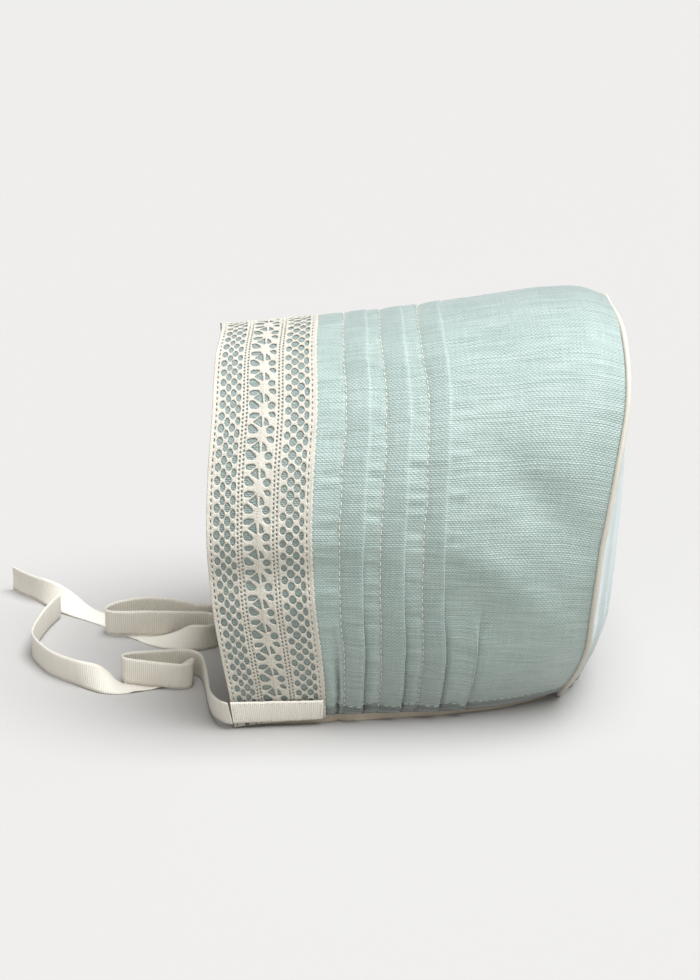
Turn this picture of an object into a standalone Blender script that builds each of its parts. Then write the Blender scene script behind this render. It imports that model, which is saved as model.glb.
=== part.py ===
"""A baby's linen bonnet with a lace front, three tucks, a piped and gathered back and ribbon ties.

Metres, +Z up. The bonnet stands on its neck edge on the plane z = 0 and looks towards -Y. The wearer's
left side is +X. The origin is on that plane, under the middle of the bonnet without its ties.

The crown is one surface. A place on it is given by "along", the share of the way from the face edge (0)
to the back seam (1), and by "arc", the share of the way from the crest (0) down to the neck edge, +1 on
the left side and -1 on the right. Every layer is that surface moved out or in by a named amount.
"""

import math
from collections import namedtuple

import bmesh
import bpy
import numpy as np

# Overall form
CROWN_LENGTH = 0.1386
CROWN_HEIGHT = 0.1460
HALF_WIDTH = 0.0650
BACK_BULGE = 0.0108
HEM_LIFT = 0.0032

# Cloth, lace and cord
LINEN = 0.0012
LINING = 0.0010
LACE = 0.0010
RIBBON = 0.0006
TIE_THICKNESS = 0.0005
TIE_LIFT = 0.0001
RIBBON_WIDTH = 0.0100
RIBBON_LIFT = 0.0034
PIPING_RADIUS = 0.0010
GAP = 0.0003

# Tucks and hem; a tuck's middle is a share of its height
TUCK_HEIGHT = 0.0012
TUCK_MIDDLE_SHARE = 0.6
FOLD_EDGE = 0.0004
HEM_DEPTH = 0.0060
HEM_BUILD = 0.0004
PLEAT_HEIGHT = 0.0014

# Gathers in the back panel: their depth halfway down is a share of the full depth, they reach it this
# far down the arc, and the higher the power, the closer to the rim they keep it
GATHER_DEPTH = 0.0009
GATHER_COUNT = 6
GATHER_MIDDLE_SHARE = 0.45
GATHER_TOP_SHARE = 0.2
GATHER_POWER = 6

# The panel starts this many degrees behind the piping, seen from the seam straight inwards
PANEL_TURN = 28

# Lace net: holes across the band and down its length
LACE_REPEAT = 0.0098
LACE_COLUMNS = 3
LACE_BAR = 0.0022

# Crown sections, in order from the face edge to the back seam. Crest and widest are heights, as shares
# of CROWN_HEIGHT; half_width and neck are half breadths, as shares of HALF_WIDTH; hem is the height of
# the hem over the surface, as a share of HEM_LIFT. Roundness 2 is an ellipse, and less is more pointed.
Section = namedtuple("Section", "along crest widest half_width neck roundness hem")
SECTIONS = (
    Section(0.00, 0.920, 0.49, 1.000, 0.800, 1.82, 0.10),
    Section(0.12, 0.930, 0.49, 1.005, 0.770, 1.84, 0.50),
    Section(0.25, 0.943, 0.48, 1.010, 0.745, 1.86, 0.95),
    Section(0.50, 0.968, 0.48, 1.015, 0.680, 1.92, 0.80),
    Section(0.70, 0.999, 0.47, 1.000, 0.618, 1.98, 0.45),
    Section(0.85, 1.017, 0.47, 0.970, 0.530, 2.05, 0.35),
    Section(0.95, 1.014, 0.46, 0.925, 0.425, 2.15, 0.30),
    Section(1.00, 0.996, 0.46, 0.890, 0.365, 2.20, 0.30),
)

# The two open edges of the crown, in order from the crest to the neck: how far behind the front of the
# bonnet each lies, and how far the back panel bulges behind the seam there. Face and seam are shares
# of CROWN_LENGTH, and bulge is a share of BACK_BULGE.
Edge = namedtuple("Edge", "arc face seam bulge")
EDGES = (
    Edge(0.00, 0.025, 1.025, 0.00),
    Edge(0.12, 0.015, 1.052, 0.08),
    Edge(0.28, 0.011, 1.056, 0.25),
    Edge(0.42, 0.002, 1.026, 0.60),
    Edge(0.56, 0.000, 0.996, 0.94),
    Edge(0.70, 0.012, 0.977, 1.00),
    Edge(0.82, 0.032, 0.966, 0.92),
    Edge(0.92, 0.050, 0.942, 0.80),
    Edge(1.00, 0.059, 0.911, 0.82),
)

# Lines that run over the head from side to side, as values of "along" at the crest, halfway down and
# at the neck edge.
Line = namedtuple("Line", "crest middle neck")
LACE_BACK = Line(0.250, 0.265, 0.279)
TUCK_STITCHES = (Line(0.315, 0.335, 0.341), Line(0.407, 0.440, 0.452), Line(0.503, 0.548, 0.569))
TUCK_FOLDS = (Line(0.373, 0.396, 0.402), Line(0.465, 0.500, 0.520), Line(0.561, 0.600, 0.638))
PLEAT_ROOT = Line(0.630, 0.655, 0.690)
PLEAT_FOLD = Line(0.680, 0.700, 0.734)
PLEAT_TOP_SHARE = 0.76
CREASE = Line(0.300, 0.312, 0.322)
CREASE_TOP_SHARE = 0.80

# Soft dents (depth under 0) and swellings in the side, in shares: where along and down the arc, how
# far each reaches both ways, how much it slants down towards the back, and its depth over HALF_WIDTH.
Dent = namedtuple("Dent", "along arc reach_along reach_arc slant depth")
DENTS = (
    Dent(0.14, 0.63, 0.22, 0.040, 0.00, -0.030),
    Dent(0.84, 0.46, 0.14, 0.060, 0.55, -0.034),
    Dent(0.78, 0.61, 0.17, 0.055, 0.55, 0.030),
    Dent(0.68, 0.72, 0.14, 0.050, 0.40, -0.016),
    Dent(0.86, 0.80, 0.12, 0.070, 0.20, 0.018),
)

FRONT_Y = -(CROWN_LENGTH * EDGES[4].seam + BACK_BULGE + 2 * PIPING_RADIUS) / 2

# Free ties: middle of the ribbon in metres, and how far it is turned from standing on its edge (0)
# towards lying flat (90), in degrees.
Stop = namedtuple("Stop", "x y z turn")
TIE_LEFT_ROUTE = (
    Stop(0.0567, -0.0686, 0.0074, -18),
    Stop(0.0540, -0.0720, 0.0073, -14),
    Stop(0.0460, -0.0757, 0.0068, -6),
    Stop(0.0330, -0.0777, 0.0059, 0),
    Stop(0.0190, -0.0794, 0.0053, 0),
    Stop(0.0090, -0.0816, 0.0052, 0),
    Stop(0.0048, -0.0862, 0.0052, 0),
    Stop(0.0052, -0.0952, 0.0052, 0),
    Stop(0.0070, -0.1052, 0.0056, 0),
    Stop(0.0103, -0.1104, 0.0060, 0),
    Stop(0.0145, -0.1092, 0.0062, 0),
    Stop(0.0172, -0.1022, 0.0062, 0),
    Stop(0.0190, -0.0942, 0.0060, 0),
    Stop(0.0193, -0.0882, 0.0056, 0),
    Stop(0.0170, -0.0844, 0.0053, 0),
    Stop(0.0132, -0.0848, 0.0048, 18),
    Stop(0.0114, -0.0887, 0.0028, 58),
    Stop(0.0120, -0.0942, 0.0005, 90),
    Stop(0.0150, -0.1022, 0.0004, 90),
    Stop(0.0176, -0.1092, 0.0004, 90),
    Stop(0.0190, -0.1152, 0.0030, 58),
    Stop(0.0182, -0.1217, 0.0048, 20),
    Stop(0.0145, -0.1284, 0.0052, 0),
    Stop(0.0052, -0.1385, 0.0052, 0),
    Stop(-0.0090, -0.1458, 0.0052, 0),
    Stop(-0.0190, -0.1464, 0.0052, 0),
    Stop(-0.0339, -0.1441, 0.0052, 0),
    Stop(-0.0440, -0.1416, 0.0052, 0),
    Stop(-0.0505, -0.1394, 0.0052, 0),
)
TIE_RIGHT_ROUTE = (
    Stop(-0.0567, -0.0686, 0.0074, 18),
    Stop(-0.0530, -0.0724, 0.0073, 14),
    Stop(-0.0455, -0.0756, 0.0068, 6),
    Stop(-0.0388, -0.0784, 0.0062, 0),
    Stop(-0.0397, -0.0838, 0.0055, 0),
    Stop(-0.0435, -0.0902, 0.0053, 0),
    Stop(-0.0463, -0.0977, 0.0056, 0),
    Stop(-0.0456, -0.1057, 0.0062, 0),
    Stop(-0.0420, -0.1142, 0.0064, 0),
    Stop(-0.0375, -0.1195, 0.0062, 0),
    Stop(-0.0332, -0.1197, 0.0060, 0),
    Stop(-0.0310, -0.1147, 0.0062, 0),
    Stop(-0.0308, -0.1042, 0.0064, 0),
    Stop(-0.0315, -0.0942, 0.0060, 0),
    Stop(-0.0326, -0.0857, 0.0054, 0),
    Stop(-0.0315, -0.0800, 0.0052, 0),
    Stop(-0.0275, -0.0764, 0.0052, 0),
    Stop(-0.0220, -0.0768, 0.0052, 0),
    Stop(-0.0188, -0.0812, 0.0052, 0),
    Stop(-0.0200, -0.0882, 0.0042, 35),
    Stop(-0.0240, -0.0952, 0.0020, 68),
    Stop(-0.0300, -0.1027, 0.0004, 90),
    Stop(-0.0370, -0.1097, 0.0004, 90),
    Stop(-0.0440, -0.1167, 0.0004, 90),
    Stop(-0.0500, -0.1237, 0.0004, 90),
    Stop(-0.0555, -0.1312, 0.0008, 84),
    Stop(-0.0600, -0.1382, 0.0030, 56),
    Stop(-0.0645, -0.1447, 0.0047, 24),
    Stop(-0.0700, -0.1512, 0.0052, 0),
    Stop(-0.0760, -0.1572, 0.0052, 0),
    Stop(-0.0808, -0.1612, 0.0052, 0),
)
TIE_STEP = 0.0035

# Where the back panel starts below the crest, and how far back the ribbon tabs run, in shares
PANEL_CREST_SHARE = 0.03
TAB_SHARE = 0.27

# Mesh fineness, and the small shares of an arc or a length that slopes are measured over
ARC_ROWS = 14
ARCH_SAMPLES = 160
PANEL_ROWS = 13
PIPING_RINGS = 46
PIPING_SIDES = 8
TAB_COLUMNS = 6
TAB_ROWS = 4
SLOPE_SHARE = 0.004
SEAM_SHARE = 0.015
PANEL_SHARE = 0.01
ABOVE_EDGE_SHARE = 0.9995

LINEN_GREEN = (0.50, 0.66, 0.63)
CREAM = (0.80, 0.76, 0.68)
IVORY = (0.85, 0.82, 0.75)
LINING_CREAM = (0.74, 0.68, 0.60)


def smooth_through(places, values, at, level_start=False):
    """The value at a place, on a smooth curve through a column of a table, level at its start if asked."""
    places = np.asarray(places, float)
    values = np.asarray(values, float)
    slopes = np.gradient(values, places)
    if level_start:
        slopes[0] = 0
    at = min(max(at, places[0]), places[-1])
    right = min(int(np.searchsorted(places, at, side="right")), len(places) - 1)
    left = right - 1
    span = places[right] - places[left]
    t = (at - places[left]) / span
    start = (1 + 2 * t) * (1 - t) ** 2 * values[left] + t * (1 - t) ** 2 * span * slopes[left]
    end = t * t * (3 - 2 * t) * values[right] + t * t * (t - 1) * span * slopes[right]
    return start + end


def section_value(column, along):
    return smooth_through([s.along for s in SECTIONS], [getattr(s, column) for s in SECTIONS], along)


def edge_value(column, arc):
    return smooth_through([e.arc for e in EDGES], [getattr(e, column) for e in EDGES], abs(arc), True)


def line_along(line, arc):
    """Where a line over the head lies at this arc."""
    return smooth_through((0.0, 0.5, 1.0), line, abs(arc), True)


HALF_ARCHES = {}


def half_arch(along):
    """One side of a cross-section from the crest to the hem: shares of its length, x and z."""
    key = round(along, 6)
    if key not in HALF_ARCHES:
        crest = section_value("crest", along) * CROWN_HEIGHT
        widest = section_value("widest", along) * CROWN_HEIGHT
        half_width = section_value("half_width", along) * HALF_WIDTH
        neck = section_value("neck", along) * HALF_WIDTH
        roundness = section_value("roundness", along)
        hem = section_value("hem", along) * HEM_LIFT
        turn = np.linspace(math.pi / 2, 0, ARCH_SAMPLES)
        upper_x = half_width * np.cos(turn) ** (2 / roundness)
        upper_z = widest + (crest - widest) * np.sin(turn) ** (2 / roundness)
        lower_z = np.linspace(widest, hem, ARCH_SAMPLES)[1:]
        lower_x = neck + (half_width - neck) * (1 - (1 - lower_z / widest) ** 2)
        x = np.concatenate([upper_x, lower_x])
        z = np.concatenate([upper_z, lower_z])
        run = np.concatenate([[0], np.cumsum(np.hypot(np.diff(x), np.diff(z)))])
        HALF_ARCHES[key] = (run / run[-1], x, z, run[-1])
    return HALF_ARCHES[key]


def arch_length(along):
    """Length of one side of a cross-section, from the crest to the hem."""
    return half_arch(along)[3]


def plain_point(along, arc):
    """A point of the crown's outer face on the left side, before dents."""
    shares, x, z, _ = half_arch(along)
    face = edge_value("face", arc)
    seam = edge_value("seam", arc)
    y = FRONT_Y + CROWN_LENGTH * (face + (seam - face) * along)
    return np.array([np.interp(arc, shares, x), y, np.interp(arc, shares, z)])


def dent_height(along, arc):
    """How far the dents and swellings move the cloth outwards here."""
    height = 0.0
    for dent in DENTS:
        back = (along - dent.along) / dent.reach_along
        down = (arc - dent.arc - dent.slant * (along - dent.along)) / dent.reach_arc
        height += dent.depth * HALF_WIDTH * math.exp(-back * back - down * down)
    return height


def outward(along, arc):
    """Unit normal of the plain crown on the left side, level at the hem."""
    a0, a1 = max(along - SLOPE_SHARE, 0), min(along + SLOPE_SHARE, 1)
    r0, r1 = max(arc - SLOPE_SHARE, 0), min(arc + SLOPE_SHARE, 1)
    back = plain_point(a1, arc) - plain_point(a0, arc)
    down = plain_point(along, r1) - plain_point(along, r0)
    normal = np.cross(down, back)
    if arc >= 1:
        normal[2] = 0
    if arc <= 0:
        normal[0] = 0
    return normal / np.linalg.norm(normal)


def crown_point(along, arc, lift=0.0):
    """A point on the crown's outer face, moved out by lift. Negative arcs are the right side."""
    side = -1 if arc < 0 else 1
    arc = abs(arc)
    out = outward(along, arc)
    point = plain_point(along, arc) + out * (lift + dent_height(along, arc))
    if arc >= 1:
        point[2] = section_value("hem", along) * HEM_LIFT
    return point * (side, 1, 1)


def both_sides(arcs):
    """Arcs from the crest down, made a list from the left neck edge over the crest to the right one."""
    return [a for a in reversed(arcs)] + [-a for a in arcs if a > 0]


def grid_faces(rows, columns, holes=()):
    """Triangles over a grid of points, mirrored about its middle row, without the cells that are holes."""
    faces = []
    for r in range(rows - 1):
        for c in range(columns - 1):
            if (r, c) in holes:
                continue
            corner = r * columns + c
            a, b, d, e = corner, corner + 1, corner + columns + 1, corner + columns
            if 2 * r < rows - 1:
                faces += [(a, b, d), (a, d, e)]
            else:
                faces += [(a, b, e), (b, d, e)]
    return faces


def plain_material(name, colour, roughness):
    material = bpy.data.materials.new(name)
    material.use_nodes = True
    shader = material.node_tree.nodes["Principled BSDF"]
    shader.inputs["Base Color"].default_value = (*colour, 1)
    shader.inputs["Roughness"].default_value = roughness
    shader.inputs["Metallic"].default_value = 0
    return material


def add_object(name, mesh, material, parent):
    """A named object with its own material; faces are turned to point outwards."""
    bm = bmesh.new()
    bm.from_mesh(mesh)
    bmesh.ops.recalc_face_normals(bm, faces=bm.faces)
    bm.to_mesh(mesh)
    bm.free()
    mesh.shade_smooth()
    mesh.set_sharp_from_angle(angle=math.radians(40))
    mesh.materials.append(material)
    thing = bpy.data.objects.new(name, mesh)
    thing.parent = parent
    bpy.context.collection.objects.link(thing)
    return thing


def shell(name, outer, inner, faces, material, parent):
    """A wall between two layers of points with the same faces, closed along its edges and holes."""
    count = len(outer)
    used = {(a, b) for face in faces for a, b in zip(face, face[1:] + face[:1])}
    solid = list(faces)
    solid += [tuple(i + count for i in reversed(face)) for face in faces]
    solid += [(b, a, a + count, b + count) for a, b in sorted(used) if (b, a) not in used]
    mesh = bpy.data.meshes.new(name)
    mesh.from_pydata([tuple(p) for p in outer] + [tuple(p) for p in inner], [], solid)
    return add_object(name, mesh, material, parent)


def ramp(arc, start):
    """0 above an arc, rising to 1 at the neck edge."""
    t = min(max((abs(arc) - start) / (1 - start), 0), 1)
    return t * t * (3 - 2 * t) if t < 1 else 1.0


def crown_columns(arc):
    """The crown's places along and the height of the cloth there, with tucks, pleat and crease."""
    step = FOLD_EDGE / CROWN_LENGTH
    columns = [(0.0, 0.0), (0.10, 0.0), (0.20, 0.0)]
    columns.append((line_along(LACE_BACK, arc), 0.0))
    columns.append((line_along(CREASE, arc), -PLEAT_HEIGHT * ramp(arc, CREASE_TOP_SHARE)))
    for stitch, fold in zip(TUCK_STITCHES, TUCK_FOLDS):
        root = line_along(stitch, arc)
        edge = line_along(fold, arc)
        columns.append((root, 0.0))
        columns.append(((root + edge) / 2, TUCK_HEIGHT * TUCK_MIDDLE_SHARE))
        columns.append((edge, TUCK_HEIGHT))
        columns.append((edge + step, 0.0))
    pleat = PLEAT_HEIGHT * ramp(arc, PLEAT_TOP_SHARE)
    root = line_along(PLEAT_ROOT, arc)
    edge = line_along(PLEAT_FOLD, arc)
    columns += [(root, 0.0), (edge, pleat), (edge + step, 0.0)]
    columns += [(0.80, 0.0), (0.87, 0.0), (0.93, 0.0), (0.97, 0.0), (1.0, 0.0)]
    return columns


def crown_arcs():
    """Arcs of the crown's rows, evenly down to the hem's stitching, then the hem."""
    stitching = 1 - HEM_DEPTH / arch_length(0.5)
    step = FOLD_EDGE / arch_length(0.5)
    arcs = [stitching * i / ARC_ROWS for i in range(ARC_ROWS + 1)]
    return arcs + [stitching + step, 1.0]


def build_crown(material, parent):
    """The linen side and crown panel: tucks, neck pleats and a hem turned up at the neck edge."""
    arcs = both_sides(crown_arcs())
    stitching = crown_arcs()[-3]
    outer = []
    inner = []
    for arc in arcs:
        hem = HEM_BUILD if abs(arc) > stitching else 0.0
        columns = crown_columns(arc)
        for along, height in columns:
            outer.append(crown_point(along, arc, height + hem))
            inner.append(crown_point(along, arc, min(height, 0) - LINEN))
    faces = grid_faces(len(arcs), len(columns))
    return shell("crown", outer, inner, faces, material, parent)


def lining_columns(arc):
    """The lining's places along and the height of the cloth there, following the crown's crease."""
    start = 2 * GAP / CROWN_LENGTH
    end = 1 - (PIPING_RADIUS + 2 * LINEN) / CROWN_LENGTH
    columns = [(start, 0.0), (0.10, 0.0), (0.20, 0.0), (line_along(LACE_BACK, arc), 0.0)]
    columns.append((line_along(CREASE, arc), -PLEAT_HEIGHT * ramp(arc, CREASE_TOP_SHARE)))
    lines = (*TUCK_STITCHES, TUCK_FOLDS[-1], PLEAT_ROOT, PLEAT_FOLD)
    columns += [(line_along(line, arc), 0.0) for line in lines]
    columns += [(0.80, 0.0), (0.87, 0.0), (0.93, 0.0), (0.97, 0.0), (end, 0.0)]
    return columns


def build_lining(material, parent):
    """The cream lining inside the crown, which reaches the surface that the bonnet stands on."""
    arcs = both_sides(crown_arcs())
    depth = LINEN + GAP
    outer = []
    inner = []
    for row in range(-1, len(arcs) + 1):
        dropped = row in (-1, len(arcs))
        arc = arcs[min(max(row, 0), len(arcs) - 1)]
        columns = lining_columns(arc)
        for along, height in columns:
            for layer, deeper in ((outer, 0.0), (inner, LINING)):
                point = crown_point(along, arc, height - depth - deeper)
                if dropped:
                    point[2] = 0.0
                layer.append(point)
    return shell("lining", outer, inner, grid_faces(len(arcs) + 2, len(columns)), material, parent)


def build_lace(material, parent):
    """The lace band over the front of the linen, cut through in rows of holes."""
    rows = round(2 * arch_length(0.1) / LACE_REPEAT)
    band = line_along(LACE_BACK, 0.5) * CROWN_LENGTH
    bar = LACE_BAR / band
    margin = 1.5 * bar
    cell = (1 - 2 * margin) / LACE_COLUMNS
    across = [0.0]
    for column in range(LACE_COLUMNS):
        left = margin + column * cell
        across += [left + bar / 2, left + cell - bar / 2]
    across.append(1.0)
    down = [0.0]
    share = LACE_BAR / LACE_REPEAT / 2
    for row in range(rows):
        down += [(row + share) / rows, (row + 1 - share) / rows]
    down.append(1.0)
    columns = len(across)
    holes = {(2 * row + 1, 2 * column + 1) for row in range(rows) for column in range(LACE_COLUMNS)}
    faces = grid_faces(len(down), columns, holes)
    outer = []
    inner = []
    for share_down in down:
        arc = 1 - 2 * share_down
        for share_across in across:
            along = line_along(LACE_BACK, arc) * share_across
            outer.append(crown_point(along, arc, GAP + HEM_BUILD + LACE))
            inner.append(crown_point(along, arc, GAP + HEM_BUILD))
    return shell("lace_band", outer, inner, faces, material, parent)


def seam_directions(arc):
    """At the back seam: its point, the way out of the cloth and the way back along it."""
    side = -1 if arc < 0 else 1
    point = crown_point(1.0, arc)
    out = outward(1.0, abs(arc)) * (side, 1, 1)
    before = crown_point(1 - SEAM_SHARE, arc)
    back = point - before
    back -= out * np.dot(back, out)
    return point, out, back / np.linalg.norm(back)


def piping_centre(arc):
    point, out, back = seam_directions(arc)
    return point + back * (PIPING_RADIUS + GAP) + out * GAP


def build_piping(material, parent):
    """The cream corded piping in the seam between the crown and the back panel."""
    arcs = [1 - 2 * i / (PIPING_RINGS - 1) for i in range(PIPING_RINGS)]
    centres = [piping_centre(arc) for arc in arcs]
    for end in (0, -1):
        centres[end] = centres[end] * (1, 1, 0) + (0, 0, GAP)
    tangents = [after - before for before, after in zip(centres, centres[2:])]
    tangents = [np.array([0.0, 0.0, 1.0])] + tangents + [np.array([0.0, 0.0, -1.0])]
    points = []
    for arc, centre, tangent in zip(arcs, centres, tangents):
        tangent = tangent / np.linalg.norm(tangent)
        _, out, _ = seam_directions(arc)
        across = np.cross(tangent, out)
        across /= np.linalg.norm(across)
        up = np.cross(across, tangent)
        for side in range(PIPING_SIDES):
            angle = 2 * math.pi * side / PIPING_SIDES
            points.append(centre + PIPING_RADIUS * (across * math.cos(angle) + up * math.sin(angle)))
    faces = []
    for ring in range(len(arcs) - 1):
        for side in range(PIPING_SIDES):
            a = ring * PIPING_SIDES + side
            b = ring * PIPING_SIDES + (side + 1) % PIPING_SIDES
            faces.append((a, b, b + PIPING_SIDES, a + PIPING_SIDES))
    faces.append(tuple(range(PIPING_SIDES)))
    last = (len(arcs) - 1) * PIPING_SIDES
    faces.append(tuple(last + side for side in reversed(range(PIPING_SIDES))))
    mesh = bpy.data.meshes.new("piping")
    mesh.from_pydata([tuple(p) for p in points], [], faces)
    return add_object("piping", mesh, material, parent)


def panel_rim(arc):
    """Where the back panel starts, just inside and behind the piping."""
    _, out, back = seam_directions(arc)
    turn = math.radians(PANEL_TURN)
    return piping_centre(arc) + (back * math.sin(turn) - out * math.cos(turn)) * (PIPING_RADIUS + GAP)


def panel_point(across, arc):
    """The back panel's outer face: across runs from -1 to 1 between its rims, at one height."""
    rim = panel_rim(arc)
    bulge = BACK_BULGE * edge_value("bulge", arc) * (1 - across * across)
    gathers = GATHER_MIDDLE_SHARE + (1 - GATHER_MIDDLE_SHARE) * abs(2 * arc - 1)
    gathers *= min(arc / GATHER_TOP_SHARE, 1) * (1 - abs(across) ** GATHER_POWER)
    fold = GATHER_DEPTH * gathers * math.cos(math.pi * GATHER_COUNT * (across + 1))
    z = rim[2] if arc < 1 else GAP
    return np.array([rim[0] * across, rim[1] + bulge + fold, z])


def build_back_panel(material, parent):
    """The horseshoe back panel, bulged behind the seam and gathered into soft upright folds."""
    columns = 4 * GATHER_COUNT + 1
    arcs = [PANEL_CREST_SHARE + (1 - PANEL_CREST_SHARE) * i / (PANEL_ROWS - 1) for i in range(PANEL_ROWS)]
    places = [1 - 2 * i / (columns - 1) for i in range(columns)]
    outer = []
    inner = []
    for arc in arcs:
        for across in places:
            point = panel_point(across, arc)
            left = panel_point(min(across + PANEL_SHARE, 1), arc)
            right = panel_point(max(across - PANEL_SHARE, -1), arc)
            low = panel_point(across, min(arc + PANEL_SHARE, ABOVE_EDGE_SHARE))
            high = panel_point(across, max(arc - PANEL_SHARE, PANEL_CREST_SHARE))
            normal = np.cross(left - right, low - high)
            if arc >= 1:
                normal[2] = 0
            normal /= np.linalg.norm(normal)
            if normal[1] < 0:
                normal = -normal
            outer.append(point)
            inner.append(point - normal * LINEN)
    faces = grid_faces(len(arcs), columns)
    return shell("back_panel", outer, inner, faces, material, parent)


def build_ribbon_tab(name, side, material, parent):
    """The stretch of ribbon sewn over the lace at one front corner."""
    under = GAP + HEM_BUILD + LACE + GAP
    outer = []
    inner = []
    places = [TAB_SHARE * i / (TAB_COLUMNS - 1) for i in range(TAB_COLUMNS)]
    for row in range(TAB_ROWS):
        for along in places:
            length = arch_length(along)
            hem = section_value("hem", along) * HEM_LIFT
            bottom = min(1 - (RIBBON_LIFT - hem) / length, ABOVE_EDGE_SHARE)
            arc = bottom - RIBBON_WIDTH / length * (1 - row / (TAB_ROWS - 1))
            outer.append(crown_point(along, side * arc, under + RIBBON))
            inner.append(crown_point(along, side * arc, under))
    return shell(name, outer, inner, grid_faces(TAB_ROWS, len(places)), material, parent)


def smooth_route(stops, step):
    """Points and turns about a step apart, on a smooth curve through the stops."""
    stops = [np.array(s, float) for s in stops]
    path = []
    for i in range(len(stops) - 1):
        p0, p1 = stops[max(i - 1, 0)], stops[i]
        p2, p3 = stops[i + 1], stops[min(i + 2, len(stops) - 1)]
        pieces = max(1, round(np.linalg.norm(p2[:3] - p1[:3]) / step))
        for k in range(pieces):
            t = k / pieces
            path.append(
                0.5
                * (
                    2 * p1
                    + (p2 - p0) * t
                    + (2 * p0 - 5 * p1 + 4 * p2 - p3) * t * t
                    + (3 * p1 - p0 - 3 * p2 + p3) * t**3
                )
            )
    path.append(stops[-1])
    return path


def build_tie(name, stops, material, parent):
    """A free ribbon tie laid on the surface: a flat strip turned about its own middle line."""
    path = smooth_route(stops, TIE_STEP)
    points = []
    for i, place in enumerate(path):
        ahead = path[min(i + 1, len(path) - 1)][:3] - path[max(i - 1, 0)][:3]
        ahead[2] = 0
        ahead /= np.linalg.norm(ahead)
        level = np.array([ahead[1], -ahead[0], 0.0])
        turn = math.radians(place[3])
        wide = np.array([0, 0, 1.0]) * math.cos(turn) + level * math.sin(turn)
        thin = level * math.cos(turn) - np.array([0, 0, 1.0]) * math.sin(turn)
        half = wide * RIBBON_WIDTH / 2
        face = thin * TIE_THICKNESS / 2
        corners = [place[:3] + half + face, place[:3] + half - face]
        corners += [place[:3] - half - face, place[:3] - half + face]
        lowest = min(corner[2] for corner in corners)
        rise = max(TIE_LIFT - lowest, 0)
        points += [corner + (0, 0, rise) for corner in corners]
    faces = [(0, 1, 2, 3)]
    for ring in range(len(path) - 1):
        for side in range(4):
            a = 4 * ring + side
            b = 4 * ring + (side + 1) % 4
            faces.append((a, a + 4, b + 4, b))
    last = 4 * (len(path) - 1)
    faces.append((last + 3, last + 2, last + 1, last))
    mesh = bpy.data.meshes.new(name)
    mesh.from_pydata([tuple(p) for p in points], [], faces)
    return add_object(name, mesh, material, parent)


def clear_scene():
    for thing in list(bpy.data.objects):
        bpy.data.objects.remove(thing, do_unlink=True)


def main():
    clear_scene()
    bonnet = bpy.data.objects.new("bonnet", None)
    bpy.context.collection.objects.link(bonnet)
    build_crown(plain_material("crown_linen", LINEN_GREEN, 0.85), bonnet)
    build_lining(plain_material("lining_cotton", LINING_CREAM, 0.85), bonnet)
    build_lace(plain_material("lace_cotton", IVORY, 0.80), bonnet)
    build_piping(plain_material("piping_cotton", CREAM, 0.80), bonnet)
    build_back_panel(plain_material("back_panel_linen", LINEN_GREEN, 0.85), bonnet)
    build_ribbon_tab("ribbon_tab_left", 1, plain_material("tab_left_ribbon", IVORY, 0.60), bonnet)
    build_ribbon_tab("ribbon_tab_right", -1, plain_material("tab_right_ribbon", IVORY, 0.60), bonnet)
    build_tie("tie_left", TIE_LEFT_ROUTE, plain_material("tie_left_ribbon", IVORY, 0.60), bonnet)
    build_tie("tie_right", TIE_RIGHT_ROUTE, plain_material("tie_right_ribbon", IVORY, 0.60), bonnet)


main()
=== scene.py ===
# %% [markdown]
# # A baby's linen bonnet
# The bonnet is sewn from a duck-egg green linen crown with three tucks, a cream lining, an ivory lace
# band round the face, a piped seam, a gathered horseshoe at the back and two ribbon ties. The frame
# holds the same pieces as plain solids. Each one is replaced here by cloth that lies in its place.

# %% Load the frame
import math
from collections import namedtuple

import bmesh
import bpy
import numpy as np
from mathutils import Matrix, Vector


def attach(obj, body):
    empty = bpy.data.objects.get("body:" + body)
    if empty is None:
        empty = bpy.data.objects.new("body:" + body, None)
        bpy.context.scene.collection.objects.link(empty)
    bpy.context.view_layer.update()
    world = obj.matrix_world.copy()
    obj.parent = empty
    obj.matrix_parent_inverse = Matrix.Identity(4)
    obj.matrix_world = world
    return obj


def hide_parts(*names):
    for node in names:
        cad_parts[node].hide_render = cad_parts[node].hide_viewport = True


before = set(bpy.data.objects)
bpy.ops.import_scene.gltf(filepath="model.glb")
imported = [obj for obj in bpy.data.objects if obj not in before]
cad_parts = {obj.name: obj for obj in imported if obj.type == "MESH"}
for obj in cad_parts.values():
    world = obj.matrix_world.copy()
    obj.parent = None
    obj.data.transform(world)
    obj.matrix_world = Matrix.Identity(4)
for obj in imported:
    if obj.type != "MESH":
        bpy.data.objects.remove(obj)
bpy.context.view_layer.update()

print("pieces in the frame:", ", ".join(sorted(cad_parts)))

# %% [markdown]
# ## Camera, floor and light
# A product photo of a small soft thing is taken with a long lens from a little above it, so the near
# and far sides keep their sizes. The key light is broad and soft and comes from above and a little from
# the back. A weak wide light from the camera's side and a weaker warm light from all round fill the
# shade: cloth that faces up is bright, and what turns in under the side is dark.

# %% Camera
CAMERA_PLACE = Vector((1.03366, -0.02535, 0.44863))
CAMERA_TARGET = Vector((0.0, -0.02535, 0.07241))
FILM_HEIGHT = 36
LENS = 109.14

camera_data = bpy.data.cameras.new("camera")
camera_data.sensor_fit = "VERTICAL"
camera_data.sensor_height = FILM_HEIGHT
camera_data.lens = LENS
camera = bpy.data.objects.new("camera", camera_data)
camera.location = CAMERA_PLACE
camera.rotation_euler = (CAMERA_TARGET - CAMERA_PLACE).to_track_quat("-Z", "Y").to_euler()
bpy.context.collection.objects.link(camera)
bpy.context.scene.camera = camera
bpy.context.scene.view_settings.view_transform = "Standard"
print("camera to target:", round((CAMERA_TARGET - CAMERA_PLACE).length, 3), "m")

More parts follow.
